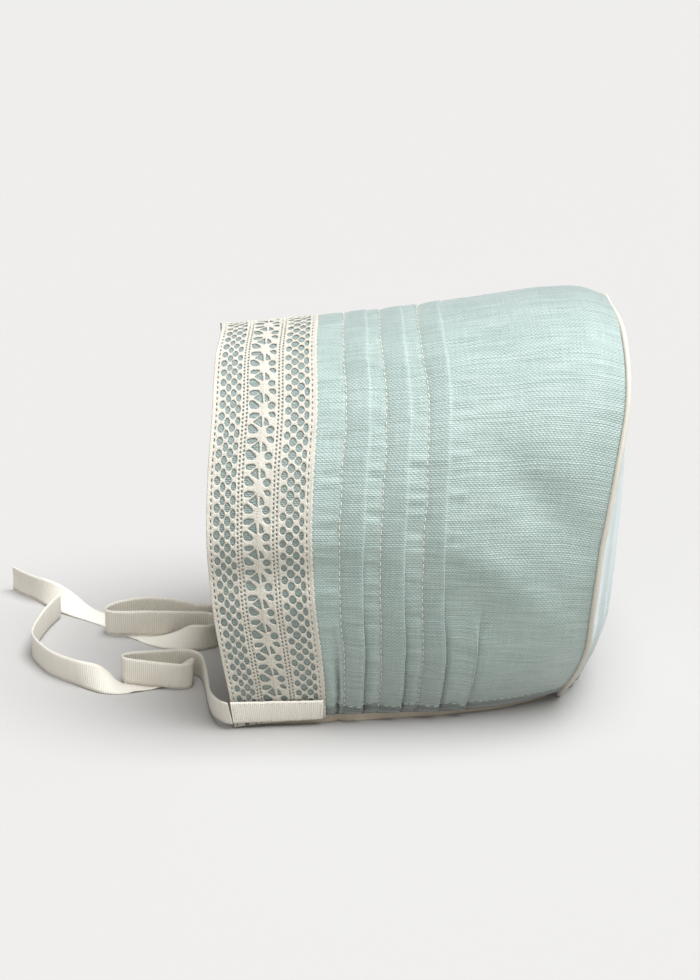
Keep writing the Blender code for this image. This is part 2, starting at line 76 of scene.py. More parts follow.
# %% Light
Sun = namedtuple("Sun", "name come_from strength degrees_wide colour")
SUNS = (
    Sun("key_sky", Vector((0.17, 0.29, 0.87)), 5.75, 52, (0.965, 1.0, 1.045)),
    Sun("front_fill", Vector((1.0, -0.05, 0.12)), 0.88, 70, (1.0, 0.985, 0.95)),
)
FILL_COLOUR = (1.0, 0.97, 0.90, 1)
FILL_STRENGTH = 0.30

for sun in SUNS:
    lamp_data = bpy.data.lights.new(sun.name, "SUN")
    lamp_data.energy = sun.strength
    lamp_data.angle = math.radians(sun.degrees_wide)
    lamp_data.color = sun.colour
    lamp = bpy.data.objects.new(sun.name, lamp_data)
    lamp.rotation_euler = sun.come_from.to_track_quat("Z", "Y").to_euler()
    bpy.context.collection.objects.link(lamp)

world = bpy.data.worlds.new("studio")
world.use_nodes = True
background = world.node_tree.nodes["Background"]
background.inputs["Color"].default_value = FILL_COLOUR
background.inputs["Strength"].default_value = FILL_STRENGTH
bpy.context.scene.world = world
print("lights:", ", ".join(sun.name for sun in SUNS), "and the fill from all round")

# %% [markdown]
# ## Wiring a material
# Every cloth here is a few nodes: its own UV map in millimetres, waves for the threads, noise for the
# spinner's slubs, a colour mix and a bump. A few small helpers keep that wiring readable.

# %% Node helpers
def add_node(tree, kind, inputs=None, **settings):
    """A node with settings; an input is given a value, or a socket that is linked to it."""
    made = tree.nodes.new("ShaderNode" + kind)
    for name, value in settings.items():
        setattr(made, name, value)
    for socket, value in (inputs or {}).items():
        if isinstance(value, bpy.types.NodeSocket):
            tree.links.new(value, made.inputs[socket])
        else:
            made.inputs[socket].default_value = value
    return made


def maths(tree, operation, *values):
    """The result of a Math node on values or sockets."""
    return add_node(tree, "Math", dict(enumerate(values)), operation=operation).outputs[0]


def noise_on(tree, place, stretch, detail=2.0, roughness=0.5):
    """Noise from 0 to 1 on a place that is stretched by (x, y) first."""
    scaled = add_node(tree, "Mapping", {"Vector": place, "Scale": (*stretch, 1)}).outputs[0]
    settings = {"Vector": scaled, "Scale": 1.0, "Detail": detail, "Roughness": roughness}
    return add_node(tree, "TexNoise", settings).outputs[0]


def new_material(name, roughness, sheen=0.0, sheen_roughness=0.5):
    """A material and its shader, with what is the same all over the surface set on the shader."""
    material = bpy.data.materials.new(name)
    material.use_nodes = True
    shader = material.node_tree.nodes["Principled BSDF"]
    shader.inputs["Roughness"].default_value = roughness
    shader.inputs["Specular IOR Level"].default_value = 0.25
    shader.inputs["Sheen Weight"].default_value = sheen
    shader.inputs["Sheen Roughness"].default_value = sheen_roughness
    return material, material.node_tree, shader


def mix_colours(tree, share, first, second):
    """A colour between two colours by a share from 0 to 1."""
    inputs = {"Factor": share, 6: (*first, 1), 7: (*second, 1)}  # 6 and 7 are the node's two colours
    return add_node(tree, "Mix", inputs, data_type="RGBA").outputs[2]


def flat_place(tree):
    """A point's place on the flat cloth, in millimetres."""
    return add_node(tree, "UVMap", uv_map="cloth").outputs[0]


def distances(tree, place):
    """The two distances of a place, along and across the cloth."""
    return add_node(tree, "SeparateXYZ", {0: place}).outputs[:2]


def wave(tree, distance, pitch, operation="SINE"):
    """A wave that repeats every pitch millimetres."""
    return maths(tree, operation, maths(tree, "MULTIPLY", distance, 2 * math.pi / pitch))


def weigh_noise(tree, start, parts):
    """A share, moved up and down by noises about their middle, each with its own weight."""
    for part, weight in parts:
        start = maths(tree, "MULTIPLY_ADD", maths(tree, "SUBTRACT", part, 0.5), weight, start)
    return start


def dress(tree, shader, colour, height, strength, distance):
    """Gives the shader its colour and its bump; the distance is in metres."""
    tree.links.new(colour, shader.inputs["Base Color"])
    bump = add_node(tree, "Bump", {"Height": height, "Strength": strength, "Distance": distance})
    tree.links.new(bump.outputs[0], shader.inputs["Normal"])


# %% Floor
floor_material, floor_tree, floor_shader = new_material("pale_paper", 0.9)
FLOOR_COLOUR = (0.432, 0.417, 0.400)
floor_place = add_node(floor_tree, "TexCoord").outputs["Object"]
floor_grain = noise_on(floor_tree, floor_place, (900, 900))
floor_range = [[c * shade for c in FLOOR_COLOUR] for shade in (0.99, 1.01)]
floor_colour = mix_colours(floor_tree, floor_grain, *floor_range)
floor_tree.links.new(floor_colour, floor_shader.inputs["Base Color"])

FLOOR_REACH = 6.0
bm = bmesh.new()
bmesh.ops.create_grid(bm, x_segments=4, y_segments=4, size=FLOOR_REACH)
floor_mesh = bpy.data.meshes.new("floor")
bm.to_mesh(floor_mesh)
bm.free()
floor_mesh.materials.append(floor_material)
floor = bpy.data.objects.new("floor", floor_mesh)
bpy.context.collection.objects.link(floor)

# %% [markdown]
# ## Smooth curves through short tables
# A dressmaker's block is a few measured points with fair curves between them. The same is done here: a
# Hermite curve runs through each column of a table, for whole arrays of places at once.

# %% Curves through a table
def smooth_through(places, values, at, level_start=False):
    """Values on a smooth curve through a column of a table, level at its start if asked."""
    places = np.asarray(places, float)
    values = np.asarray(values, float)
    slopes = np.gradient(values, places)
    if level_start:
        slopes[0] = 0
    at = np.clip(np.asarray(at, float), places[0], places[-1])
    right = np.minimum(np.searchsorted(places, at, side="right"), len(places) - 1)
    left = right - 1
    span = places[right] - places[left]
    t = (at - places[left]) / span
    start = (1 + 2 * t) * (1 - t) ** 2 * values[left] + t * (1 - t) ** 2 * span * slopes[left]
    end = t * t * (3 - 2 * t) * values[right] + t * t * (t - 1) * span * slopes[right]
    return start + end


def ease(value, start, end):
    """0 before start and 1 after end, with a soft change between them."""
    t = np.clip((value - start) / (end - start), 0, 1)
    return t * t * (3 - 2 * t)


def unit(arrows):
    """The same arrows, each one long."""
    return arrows / np.linalg.norm(arrows, axis=-1)[..., None]


def run_along(points):
    """How far along a row of points each of them lies."""
    return np.concatenate([[0], np.cumsum(np.linalg.norm(np.diff(points, axis=0), axis=1))])


MM = 0.001

# %% [markdown]
# ## Cloth from a grid
# Most pieces start as a flat grid, as cloth starts flat on the table. A function says where each point
# of the grid goes when the piece is sewn, and the grid's own columns and rows become the UV map, so a
# weave follows the cloth round every fold. A Solidify modifier then gives the cloth its thickness.

# %% Grid helpers
def flat_grid(columns, rows):
    """A flat grid with its points' column and row numbers."""
    bm = bmesh.new()
    bmesh.ops.create_grid(bm, x_segments=columns, y_segments=rows, size=1)
    flat = np.array([vert.co[:2] for vert in bm.verts])
    shares = (flat - flat.min(axis=0)) / np.ptp(flat, axis=0)
    return bm, np.rint(shares * (columns, rows)).astype(int)


def lay_cloth(bm, points, flat_mm):
    """Moves the grid's points to where they are sewn and keeps their flat place as a UV map."""
    layer = bm.loops.layers.uv.new("cloth")
    bm.verts.index_update()
    for vert, point in zip(bm.verts, points.tolist()):
        vert.co = point
    flat_mm = flat_mm.tolist()
    for face in bm.faces:
        for loop in face.loops:
            loop[layer].uv = flat_mm[loop.vert.index]


def cloth_from(points, along_mm, down_mm):
    """Cloth from points in columns and rows, which lay that far along and down it when it was flat."""
    bm, place = flat_grid(points.shape[0] - 1, points.shape[1] - 1)
    at = tuple(place.T)
    flat_mm = np.stack(np.broadcast_arrays(along_mm[:, None], down_mm[None]), -1)
    lay_cloth(bm, points[at], flat_mm[at])
    return bm, at


def face_away(bm):
    """Turns an open sheet so that it faces away from the middle of the bonnet."""
    bmesh.ops.recalc_face_normals(bm, faces=bm.faces)
    away = sum((f.calc_center_median() - BONNET_CENTRE).dot(f.normal) * f.calc_area() for f in bm.faces)
    if away < 0:
        bmesh.ops.reverse_faces(bm, faces=bm.faces)


def finish_piece(name, bm, material, slot, replaced=(), wall=0.0, offset=-1.0):
    """Makes the object with its wall and smooth shading, puts it under the root body and hides the nodes it
    replaces; slot is not used.
    """
    mesh = bpy.data.meshes.new(name)
    bm.to_mesh(mesh)
    bm.free()
    mesh.shade_smooth()
    mesh.materials.append(material)
    piece = bpy.data.objects.new(name, mesh)
    bpy.context.collection.objects.link(piece)
    if wall:
        solidify = piece.modifiers.new("wall", "SOLIDIFY")
        solidify.thickness = wall
        solidify.offset = offset
        solidify.use_even_offset = False
    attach(piece, "root")
    if replaced:
        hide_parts(*replaced)
    triangles = sum(len(p.vertices) - 2 for p in mesh.polygons)
    print(f"{name}: {triangles} triangles before its wall")
    return piece


# %% [markdown]
# ## The ties
# Each tie is a 10 mm grosgrain ribbon that stands on its edge in loose curls and lies flat where it
# crosses itself. The route is the one the frame's solid follows. Grosgrain has a thick weft, so the
# strip is made with a low round rib every 0.8 mm, which the light picks out better than a bump does.

# %% Tie routes
# Each stop is x, y and z in millimetres and the ribbon's turn about its middle line in degrees
TIE_LEFT_ROUTE = (
    (56.7, -68.6, 7.4, -18), (54.0, -72.0, 7.3, -14), (46.0, -75.7, 6.8, -6), (33.0, -77.7, 5.9, 0),
    (19.0, -79.4, 5.3, 0), (9.0, -81.6, 5.2, 0), (4.8, -86.2, 5.2, 0), (5.2, -95.2, 5.2, 0),
    (7.0, -105.2, 5.6, 0), (10.3, -110.4, 6.0, 0), (14.5, -109.2, 6.2, 0), (17.2, -102.2, 6.2, 0),
    (19.0, -94.2, 6.0, 0), (19.3, -88.2, 5.6, 0), (17.0, -84.4, 5.3, 0), (13.2, -84.8, 4.8, 18),
    (11.4, -88.7, 2.8, 58), (12.0, -94.2, 0.5, 90), (15.0, -102.2, 0.4, 90), (17.6, -109.2, 0.4, 90),
    (19.0, -115.2, 3.0, 58), (18.2, -121.7, 4.8, 20), (14.5, -128.4, 5.2, 0), (5.2, -138.5, 5.2, 0),
    (-9.0, -145.8, 5.2, 0), (-19.0, -146.4, 5.2, 0), (-33.9, -144.1, 5.2, 0), (-44.0, -141.6, 5.2, 0),
    (-50.5, -139.4, 5.2, 0),
)
TIE_RIGHT_ROUTE = (
    (-56.7, -68.6, 7.4, 18), (-53.0, -72.4, 7.3, 14), (-45.5, -75.6, 6.8, 6), (-38.8, -78.4, 6.2, 0),
    (-39.7, -83.8, 5.5, 0), (-43.5, -90.2, 5.3, 0), (-46.3, -97.7, 5.6, 0), (-45.6, -105.7, 6.2, 0),
    (-42.0, -114.2, 6.4, 0), (-37.5, -119.5, 6.2, 0), (-33.2, -119.7, 6.0, 0), (-31.0, -114.7, 6.2, 0),
    (-30.8, -104.2, 6.4, 0), (-31.5, -94.2, 6.0, 0), (-32.6, -85.7, 5.4, 0), (-31.5, -80.0, 5.2, 0),
    (-27.5, -76.4, 5.2, 0), (-22.0, -76.8, 5.2, 0), (-18.8, -81.2, 5.2, 0), (-20.0, -88.2, 4.2, 35),
    (-24.0, -95.2, 2.0, 68), (-30.0, -102.7, 0.4, 90), (-37.0, -109.7, 0.4, 90), (-44.0, -116.7, 0.4, 90),
    (-50.0, -123.7, 0.4, 90), (-55.5, -131.2, 0.8, 84), (-60.0, -138.2, 3.0, 56), (-64.5, -144.7, 4.7, 24),
    (-70.0, -151.2, 5.2, 0), (-76.0, -157.2, 5.2, 0), (-80.8, -161.2, 5.2, 0),
)
RIBBON_WIDTH = 0.0100
RIBBON_WALL = 0.00034
RIB_PITCH = 0.0008
RIB_HEIGHT = 0.00009
RIB_STEPS = 4
RIBBON_CELLS = 8
CUP_DEPTH = 0.00035  # how far the ribbon cups across its width, and over what run it changes side
CUP_REACH = 0.021
FLOOR_GAP = 0.0001
CORD_STEP = 0.0035


def smooth_route(stops, step):
    """Points and turns about a step apart, on a smooth curve through the stops."""
    stops = [np.array(stop) / (1000, 1000, 1000, 1) for stop in stops]
    path = []
    for i in range(len(stops) - 1):
        p0, p1 = stops[max(i - 1, 0)], stops[i]
        p2, p3 = stops[i + 1], stops[min(i + 2, len(stops) - 1)]
        pieces = max(1, round(np.linalg.norm(p2[:3] - p1[:3]) / step))
        for k in range(pieces):
            t = k / pieces
            curve = 2 * p1 + (p2 - p0) * t
            curve = curve + (2 * p0 - 5 * p1 + 4 * p2 - p3) * t * t + (3 * p1 - p0 - 3 * p2 + p3) * t**3
            path.append(0.5 * curve)
    path.append(stops[-1])
    return np.array(path)


# %% Grosgrain ribbon
def ribbon_material(name, dark, light):
    """Ivory grosgrain: fine silky ends run along it, bent over each rib, and the hollows get painted shade.
    """
    material, tree, shader = new_material(name, 0.52, sheen=0.25)
    place = flat_place(tree)
    rib = wave(tree, distances(tree, place)[0], RIB_PITCH / MM)
    ends = noise_on(tree, place, (0.8, 9.0), 1.0)
    cloudy = noise_on(tree, place, (0.12, 0.2), 2.0)
    # The rib wave also darkens the colour in the hollows between ribs: painted shade
    share = maths(tree, "MULTIPLY_ADD", rib, 0.16, 0.5)
    share = weigh_noise(tree, share, ((ends, 0.5), (cloudy, 0.3)))
    colour = mix_colours(tree, share, dark, light)
    dress(tree, shader, colour, maths(tree, "MULTIPLY_ADD", ends, 0.35, rib), 0.5, 0.00012)
    return material


def strip_points(route, half_shares):
    """Points across a strip that follows a route, turned about its middle line, never under the floor."""
    ahead = unit(np.gradient(route[:, :3], axis=0) * (1, 1, 0))
    level = np.stack([ahead[:, 1], -ahead[:, 0], np.zeros(len(route))], 1)
    turn = np.radians(route[:, 3])[:, None]
    up = np.array([0, 0, 1.0])
    wide = up * np.cos(turn) + level * np.sin(turn)
    thin = level * np.cos(turn) - up * np.sin(turn)
    points = route[:, None, :3] + wide[:, None] * (half_shares * RIBBON_WIDTH / 2)[None, :, None]
    lowest = points[:, :, 2].min(axis=1) - RIBBON_WALL
    points[:, :, 2] += np.maximum(FLOOR_GAP - lowest, 0)[:, None]
    return points, thin


def make_tie(name, stops, node, slot, material):
    """A ribbed ribbon along its route; its real length is printed."""
    route = smooth_route(stops, RIB_PITCH / RIB_STEPS)
    run = run_along(route[:, :3])
    shares = np.linspace(-1, 1, RIBBON_CELLS + 1)
    points, thin = strip_points(route, shares)
    rib = np.cos(2 * math.pi * run / RIB_PITCH) * RIB_HEIGHT
    cup = (shares**2)[None, :] * CUP_DEPTH * np.sin(run / CUP_REACH)[:, None]
    points += thin[:, None] * (rib[:, None] + cup)[:, :, None]
    bm, _ = cloth_from(points, run / MM, shares * RIBBON_WIDTH / 2 / MM)
    tie = finish_piece(name, bm, material, slot, (node,), RIBBON_WALL, 0.0)
    path = [tuple(p[:3]) for p in smooth_route(stops, CORD_STEP)]
    length = sum(math.dist(a, b) for a, b in zip(path, path[1:]))
    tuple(path[0])
    print(f"{name}: {length * 1000:.1f} mm long")


tie_grosgrain = ribbon_material("ivory_grosgrain", (0.64, 0.59, 0.495), (0.85, 0.82, 0.745))
make_tie("tie_ribbon_left", TIE_LEFT_ROUTE, "tie_left", "tie_left_ribbon", tie_grosgrain)
make_tie("tie_ribbon_right", TIE_RIGHT_ROUTE, "tie_right", "tie_right_ribbon", tie_grosgrain)

# %% [markdown]
# ## The crown as one surface
# Crown, lining, lace and ribbon tabs all lie on one surface at different depths. A place on it is its
# share along from the face edge to the back seam, and its share of the arc from the crest (0) down to
# the neck edge, +1 on the wearer's left and -1 on the right. The tables follow the frame's solids, with
# the tuck lines, the pleat and the dents moved a little to where the photo shows them. The surface is
# worked out once on a grid, and read between its points with a smooth curve.

# %% Tables of the crown
CROWN_LENGTH = 0.1386
CROWN_HEIGHT = 0.1460
HALF_WIDTH = 0.0650
BACK_BULGE = 0.0108
HEM_LIFT = 0.0032
HEM_DEPTH = 0.0060
PIPING_RADIUS = 0.0010
GAP = 0.0003
LINEN_DEPTH = 0.0012

Section = namedtuple("Section", "along crest widest half_width neck roundness hem")
SECTIONS = (
    Section(0.00, 0.920, 0.49, 1.000, 0.800, 1.82, 0.10),
    Section(0.12, 0.930, 0.49, 1.005, 0.770, 1.84, 0.50),
    Section(0.25, 0.943, 0.48, 1.010, 0.745, 1.86, 0.95),
    Section(0.50, 0.968, 0.48, 1.015, 0.680, 1.92, 0.80),
    Section(0.70, 0.999, 0.47, 1.000, 0.618, 1.98, 0.45),
    Section(0.85, 1.017, 0.47, 0.970, 0.530, 2.05, 0.35),
    Section(0.95, 1.014, 0.46, 0.925, 0.425, 2.15, 0.30),
    Section(1.00, 0.996, 0.46, 0.890, 0.365, 2.20, 0.30),
)
Edge = namedtuple("Edge", "arc face seam bulge")
EDGES = (
    Edge(0.00, 0.025, 1.038, 0.00),
    Edge(0.12, 0.015, 1.052, 0.08),
    Edge(0.28, 0.011, 1.056, 0.25),
    Edge(0.42, 0.002, 1.026, 0.60),
    Edge(0.56, 0.000, 0.996, 0.94),
    Edge(0.70, 0.012, 0.977, 1.00),
    Edge(0.82, 0.032, 0.966, 0.92),
    Edge(0.92, 0.050, 0.942, 0.80),
    Edge(1.00, 0.059, 0.911, 0.82),
)
Line = namedtuple("Line", "crest middle neck")
LACE_BACK = Line(0.250, 0.265, 0.279)
TUCK_STITCHES = (Line(0.315, 0.335, 0.334), Line(0.407, 0.440, 0.437), Line(0.503, 0.548, 0.553))
TUCK_FOLDS = (Line(0.373, 0.396, 0.387), Line(0.465, 0.500, 0.503), Line(0.561, 0.600, 0.620))
PLEAT_ROOT = Line(0.635, 0.652, 0.650)
PLEAT_FOLD = Line(0.685, 0.700, 0.699)
PLEAT_TOP = 0.68
CREASE = Line(0.300, 0.307, 0.325)
CREASE_TOP = 0.74
CREASE_DEPTH = 0.0014

Dent = namedtuple("Dent", "along arc reach_along reach_arc slant depth")
DENTS = (
    Dent(0.14, 0.63, 0.22, 0.040, 0.00, -0.030),
    Dent(0.84, 0.49, 0.14, 0.060, 0.55, -0.034),
    Dent(0.78, 0.65, 0.17, 0.055, 0.55, 0.030),
    Dent(0.68, 0.72, 0.14, 0.050, 0.40, -0.016),
    Dent(0.86, 0.80, 0.12, 0.070, 0.20, 0.018),
)
FRONT_Y = -(CROWN_LENGTH * EDGES[4].seam + BACK_BULGE + 2 * PIPING_RADIUS) / 2


def section_value(column, along):
    """A column of SECTIONS at these places along."""
    return smooth_through([s.along for s in SECTIONS], [getattr(s, column) for s in SECTIONS], along)


def edge_value(column, arc):
    """A column of EDGES at these arcs, the same on both sides."""
    return smooth_through([e.arc for e in EDGES], [getattr(e, column) for e in EDGES], np.abs(arc), True)


def line_along(line, arc):
    """Where a line over the head lies at these arcs."""
    return smooth_through((0.0, 0.5, 1.0), line, np.abs(arc), True)


# %% The surface on a grid
ARCH_SAMPLES = 600
ALONG_SAMPLES = 141
ARC_SAMPLES = 301


def half_arch(along):
    """One side of a cross-section from the crest to the hem: shares of its length, x, z and length."""
    crest = section_value("crest", along) * CROWN_HEIGHT
    widest = section_value("widest", along) * CROWN_HEIGHT
    half_width = section_value("half_width", along) * HALF_WIDTH
    neck = section_value("neck", along) * HALF_WIDTH
    roundness = section_value("roundness", along)
    hem = section_value("hem", along) * HEM_LIFT
    turn = np.linspace(math.pi / 2, 0, ARCH_SAMPLES)
    upper_x = half_width * np.abs(np.cos(turn)) ** (2 / roundness)
    upper_z = widest + (crest - widest) * np.sin(turn) ** (2 / roundness)
    lower_z = np.linspace(widest, hem, ARCH_SAMPLES)[1:]
    lower_x = neck + (half_width - neck) * (1 - (1 - lower_z / widest) ** 2)
    x = np.concatenate([upper_x, lower_x])
    z = np.concatenate([upper_z, lower_z])
    run = np.concatenate([[0], np.cumsum(np.hypot(np.diff(x), np.diff(z)))])
    return run / run[-1], x, z, run[-1]


def sample_side():
    """Points, normals and dents of the left side, and the length of one side at each place along."""
    arcs = np.linspace(0, 1, ARC_SAMPLES)
    alongs = np.linspace(0, 1, ALONG_SAMPLES)
    face, seam = edge_value("face", arcs), edge_value("seam", arcs)
    points = np.zeros((ALONG_SAMPLES, ARC_SAMPLES, 3))
    lengths = np.zeros(ALONG_SAMPLES)
    for i, along in enumerate(alongs):
        shares, x, z, lengths[i] = half_arch(along)
        points[i, :, 0] = np.interp(arcs, shares, x)
        points[i, :, 1] = FRONT_Y + CROWN_LENGTH * (face + (seam - face) * along)
        points[i, :, 2] = np.interp(arcs, shares, z)
    normals = np.cross(np.gradient(points, axis=1), np.gradient(points, axis=0))
    normals[:, -1, 2] = 0  # straight out at the neck edge, and straight up along the crest
    normals[:, 0, 0] = 0
    normals = unit(normals)
    dents = np.zeros((ALONG_SAMPLES, ARC_SAMPLES))
    for dent in DENTS:
        back = (alongs[:, None] - dent.along) / dent.reach_along
        down = (arcs[None, :] - dent.arc - dent.slant * (alongs[:, None] - dent.along)) / dent.reach_arc
        dents += dent.depth * HALF_WIDTH * np.exp(-back * back - down * down)
    return points, normals, dents, lengths


side_points, side_normals, side_dents, side_lengths = sample_side()
side_points = side_points + side_normals * side_dents[:, :, None]


def both_halves(side):
    """The right side mirrored, then the left, as one grid whose arc runs from -1 to 1."""
    return np.concatenate([side[:, :0:-1] * (-1, 1, 1), side], axis=1)


SURFACE = np.concatenate([both_halves(side_points), both_halves(side_normals)], axis=2)
# A limp bonnet leans: just past the crest, on the far side, the back seam lies a little further forward
FAR_LEAN, LEAN_START, LEAN_ARC, LEAN_REACH = 0.0045, 0.6, -0.16, 0.11
lean_arcs = np.linspace(-1, 1, 2 * ARC_SAMPLES - 1)
lean = FAR_LEAN * np.exp(-(((lean_arcs - LEAN_ARC) / LEAN_REACH) ** 2))
SURFACE[:, :, 1] -= ease(np.linspace(0, 1, ALONG_SAMPLES), LEAN_START, 1)[:, None] * lean


def cubic_weights(t):
    """How much each of four neighbours counts at a share t between the two in the middle."""
    return (
        -t / 2 + t * t - t**3 / 2,
        1 - 2.5 * t * t + 1.5 * t**3,
        t / 2 + 2 * t * t - 1.5 * t**3,
        -t * t / 2 + t**3 / 2,
    )


def crown_at(along, arc):
    """Points and unit normals of the crown at arrays of places, read smoothly from the grid."""
    along, arc = np.broadcast_arrays(np.asarray(along, float), np.asarray(arc, float))
    total = np.zeros((*along.shape, 6))
    u = np.clip(along, 0, 1) * (SURFACE.shape[0] - 1)
    v = (np.clip(arc, -1, 1) + 1) / 2 * (SURFACE.shape[1] - 1)
    iu = np.minimum(u.astype(int), SURFACE.shape[0] - 2)
    iv = np.minimum(v.astype(int), SURFACE.shape[1] - 2)
    for a, weight_u in enumerate(cubic_weights(u - iu)):
        row = np.clip(iu + a - 1, 0, SURFACE.shape[0] - 1)
        for b, weight_v in enumerate(cubic_weights(v - iv)):
            column = np.clip(iv + b - 1, 0, SURFACE.shape[1] - 1)
            total += (weight_u * weight_v)[..., None] * SURFACE[row, column]
    points, normals = total[..., :3], total[..., 3:]
    return points, unit(normals)


def crown_point(along, arc, lift):
    """Points on the crown's outer face moved out by lift."""
    points, normals = crown_at(along, arc)
    return points + normals * np.asarray(lift)[..., None]


SEAM_SHARE = 0.015


def seam_directions(arc):
    """At the back seam: its points, the way out of the cloth and the way back along it."""
    point, out = crown_at(1.0, arc)
    back = point - crown_at(1 - SEAM_SHARE, arc)[0]
    return point, out, unit(back - out * (back * out).sum(axis=-1)[..., None])


def side_length(along):
    """The length of one side from the crest to the neck edge, in metres."""
    return np.interp(along, np.linspace(0, 1, ALONG_SAMPLES), side_lengths)


MIDDLE_MM = side_length(0.5) / MM
BONNET_CENTRE = Vector((0, 0, 0.07))


def both_sides(half, sign=1):
    """Values from the crest down one side, with their mirror image before them."""
    return np.concatenate([sign * half[:0:-1], half])


def above_edge(mm):
    """The arc that lies some millimetres above the neck edge."""
    return 1 - mm / MIDDLE_MM


HEM_ARC = above_edge(HEM_DEPTH / MM)
print(f"side of the crown, crest to neck edge: {MIDDLE_MM:.1f} mm")

# %% [markdown]
# ## Linen
# Plain-weave linen is one thread over, one under. Its threads are uneven, with thick slubs that show as
# short streaks, mostly along the weft. Waves in two directions give the weave, noise that is stretched
# along a thread gives the slubs, and a little more noise gives the uneven dye of washed linen.

# %% Woven linen
LINEN_DARK = (0.180, 0.252, 0.224)
LINEN_LIGHT = (0.384, 0.463, 0.428)
LINEN_PITCH = 0.74  # millimetres from thread to thread
LINEN_RELIEF = 0.00014


def linen_material(name):
    """Washed linen with slubs."""
    material, tree, shader = new_material(name, 0.52, sheen=0.7, sheen_roughness=0.45)
    shader.inputs["Specular IOR Level"].default_value = 0.85
    shader.inputs["Sheen Tint"].default_value = (0.94, 0.97, 1.0, 1)
    place = flat_place(tree)
    wobble = add_node(tree, "TexNoise", {"Vector": place, "Scale": 0.05, "Detail": 3.0}).outputs[1]
    shift = add_node(tree, "VectorMath", {0: wobble, 1: (0.5, 0.5, 0.5)}, operation="SUBTRACT").outputs[0]
    bent = {0: shift, 1: (2.2, 2.2, 0), 2: place}
    moved = add_node(tree, "VectorMath", bent, operation="MULTIPLY_ADD").outputs[0]
    along, across = distances(tree, moved)
    cross = maths(tree, "MULTIPLY", *(wave(tree, far, 2 * LINEN_PITCH) for far in (along, across)))
    ridge = wave(tree, across, LINEN_PITCH, "COSINE")
    weft_slub = noise_on(tree, moved, (0.045, 1.45), 2.0, 0.6)
    warp_slub = noise_on(tree, moved, (1.45, 0.08), 2.0, 0.6)
    fleck = noise_on(tree, moved, (1.7, 1.9), 3.0, 0.7)
    cloudy = noise_on(tree, place, (0.045, 0.045), 3.0)
    # Over 0 this paints a highlight that pales a fold edge; under 0 it paints shade that deepens the whole
    # colour
    worn = add_node(tree, "Attribute", attribute_name="worn").outputs["Fac"]
    share = maths(tree, "MULTIPLY_ADD", maths(tree, "MAXIMUM", worn, 0.0), 0.5, 0.5)
    for part, weight in ((cross, 0.16), (ridge, -0.16)):
        share = maths(tree, "MULTIPLY_ADD", part, weight, share)
    share = weigh_noise(tree, share, ((weft_slub, 1.55), (warp_slub, 0.6), (fleck, 0.5), (cloudy, 0.35)))
    colour = mix_colours(tree, share, LINEN_DARK, LINEN_LIGHT)
    depth = maths(tree, "MULTIPLY_ADD", maths(tree, "MINIMUM", worn, 0.0), 0.55, 1.0)
    shaded = add_node(tree, "VectorMath", {0: colour, "Scale": depth}, operation="SCALE").outputs[0]
    height = maths(tree, "MULTIPLY", cross, 0.55)
    for part, weight in ((ridge, -0.35), (weft_slub, 1.6), (warp_slub, 0.7), (fleck, 0.4)):
        height = maths(tree, "MULTIPLY_ADD", part, weight, height)
    dress(tree, shader, shaded, height, 0.9, LINEN_RELIEF)
    return material


crown_linen = linen_material("duck_egg_linen")

# %% [markdown]
# ## The crown's tucks
# A tuck is a fold of cloth sewn down along its foot, so its edge lies loose over the cloth behind. The
# columns climb from the stitches to the fold and turn steeply down round it, and they lie close enough
# there for a crisp edge. The neck pleat is made the same way and grows out of flat cloth, so its
# columns are given twice, flat and folded. Between the seams the stitches draw the cloth up into small
# puckers. All of it is laid one by one, because a simulated drape wouldn't fall as the photo's does.

# %% Columns of the crown
# Tuck columns: share of the way from stitches to fold, then millimetres past the fold, height in
# millimetres, how much of the puckering the column takes, and its painted shading: over 0 a painted
# highlight on the fold edge, under 0 painted shade, and on the flaps also the deeper colour of cloth that
# lies double.
TuckColumn = namedtuple("TuckColumn", "share past height pucker worn")
TUCK_PROFILE = [TuckColumn(*row) for row in (
    (-0.22, 0.00, 0.00, 1.0, 0.0), (-0.13, 0.00, 0.00, 0.8, 0.0),
    (-0.06, 0.00, -0.04, 0.5, -0.1), (0.00, 0.00, -0.14, 0.1, -0.3),
    (0.04, 0.00, -0.04, 0.1, -0.3), (0.10, 0.00, 0.12, 0.15, -0.26),
    (0.20, 0.00, 0.27, 0.2, -0.26), (0.35, 0.00, 0.41, 0.3, -0.26),
    (0.50, 0.00, 0.50, 0.3, -0.26), (0.65, 0.00, 0.56, 0.3, -0.26),
    (0.80, 0.00, 0.60, 0.3, -0.26), (0.91, 0.00, 0.62, 0.3, -0.1),
    (1.00, -0.22, 0.63, 0.3, 0.2), (1.00, 0.00, 0.59, 0.3, 0.6),
    (1.00, 0.14, 0.49, 0.3, 0.7), (1.00, 0.22, 0.36, 0.3, 0.5),
    (1.00, 0.20, 0.22, 0.3, 0.1), (1.00, 0.16, 0.10, 0.3, 0.0),
    (1.00, 0.28, 0.00, 0.4, 0.0), (1.00, 0.80, -0.02, 0.6, 0.0),
    (1.00, 1.40, 0.00, 0.8, 0.0), (1.00, 2.00, 0.00, 1.0, 0.0),
)]
PLEAT_PROFILE = TUCK_PROFILE[4:]
PLEAT_BUILD = 2.6  # the pleat holds more cloth than a tuck, so it stands this many times as high
PUCKER_HEIGHT = 0.42
PUCKER_REACH = 4.6
SEWING_STRAY = 0.0018
FOLD_STRAY = 0.0015
FACE_TURN_IN = (1.20, 0.80, 0.40, 0.15)  # millimetres that the face edge turns in to meet the lining
CREASE_SHARES = (0.10, 0.20, 0.30, 0.40, 0.48, 0.55, 0.61, 0.66, 0.71)
MM_ALONG = CROWN_LENGTH / MM


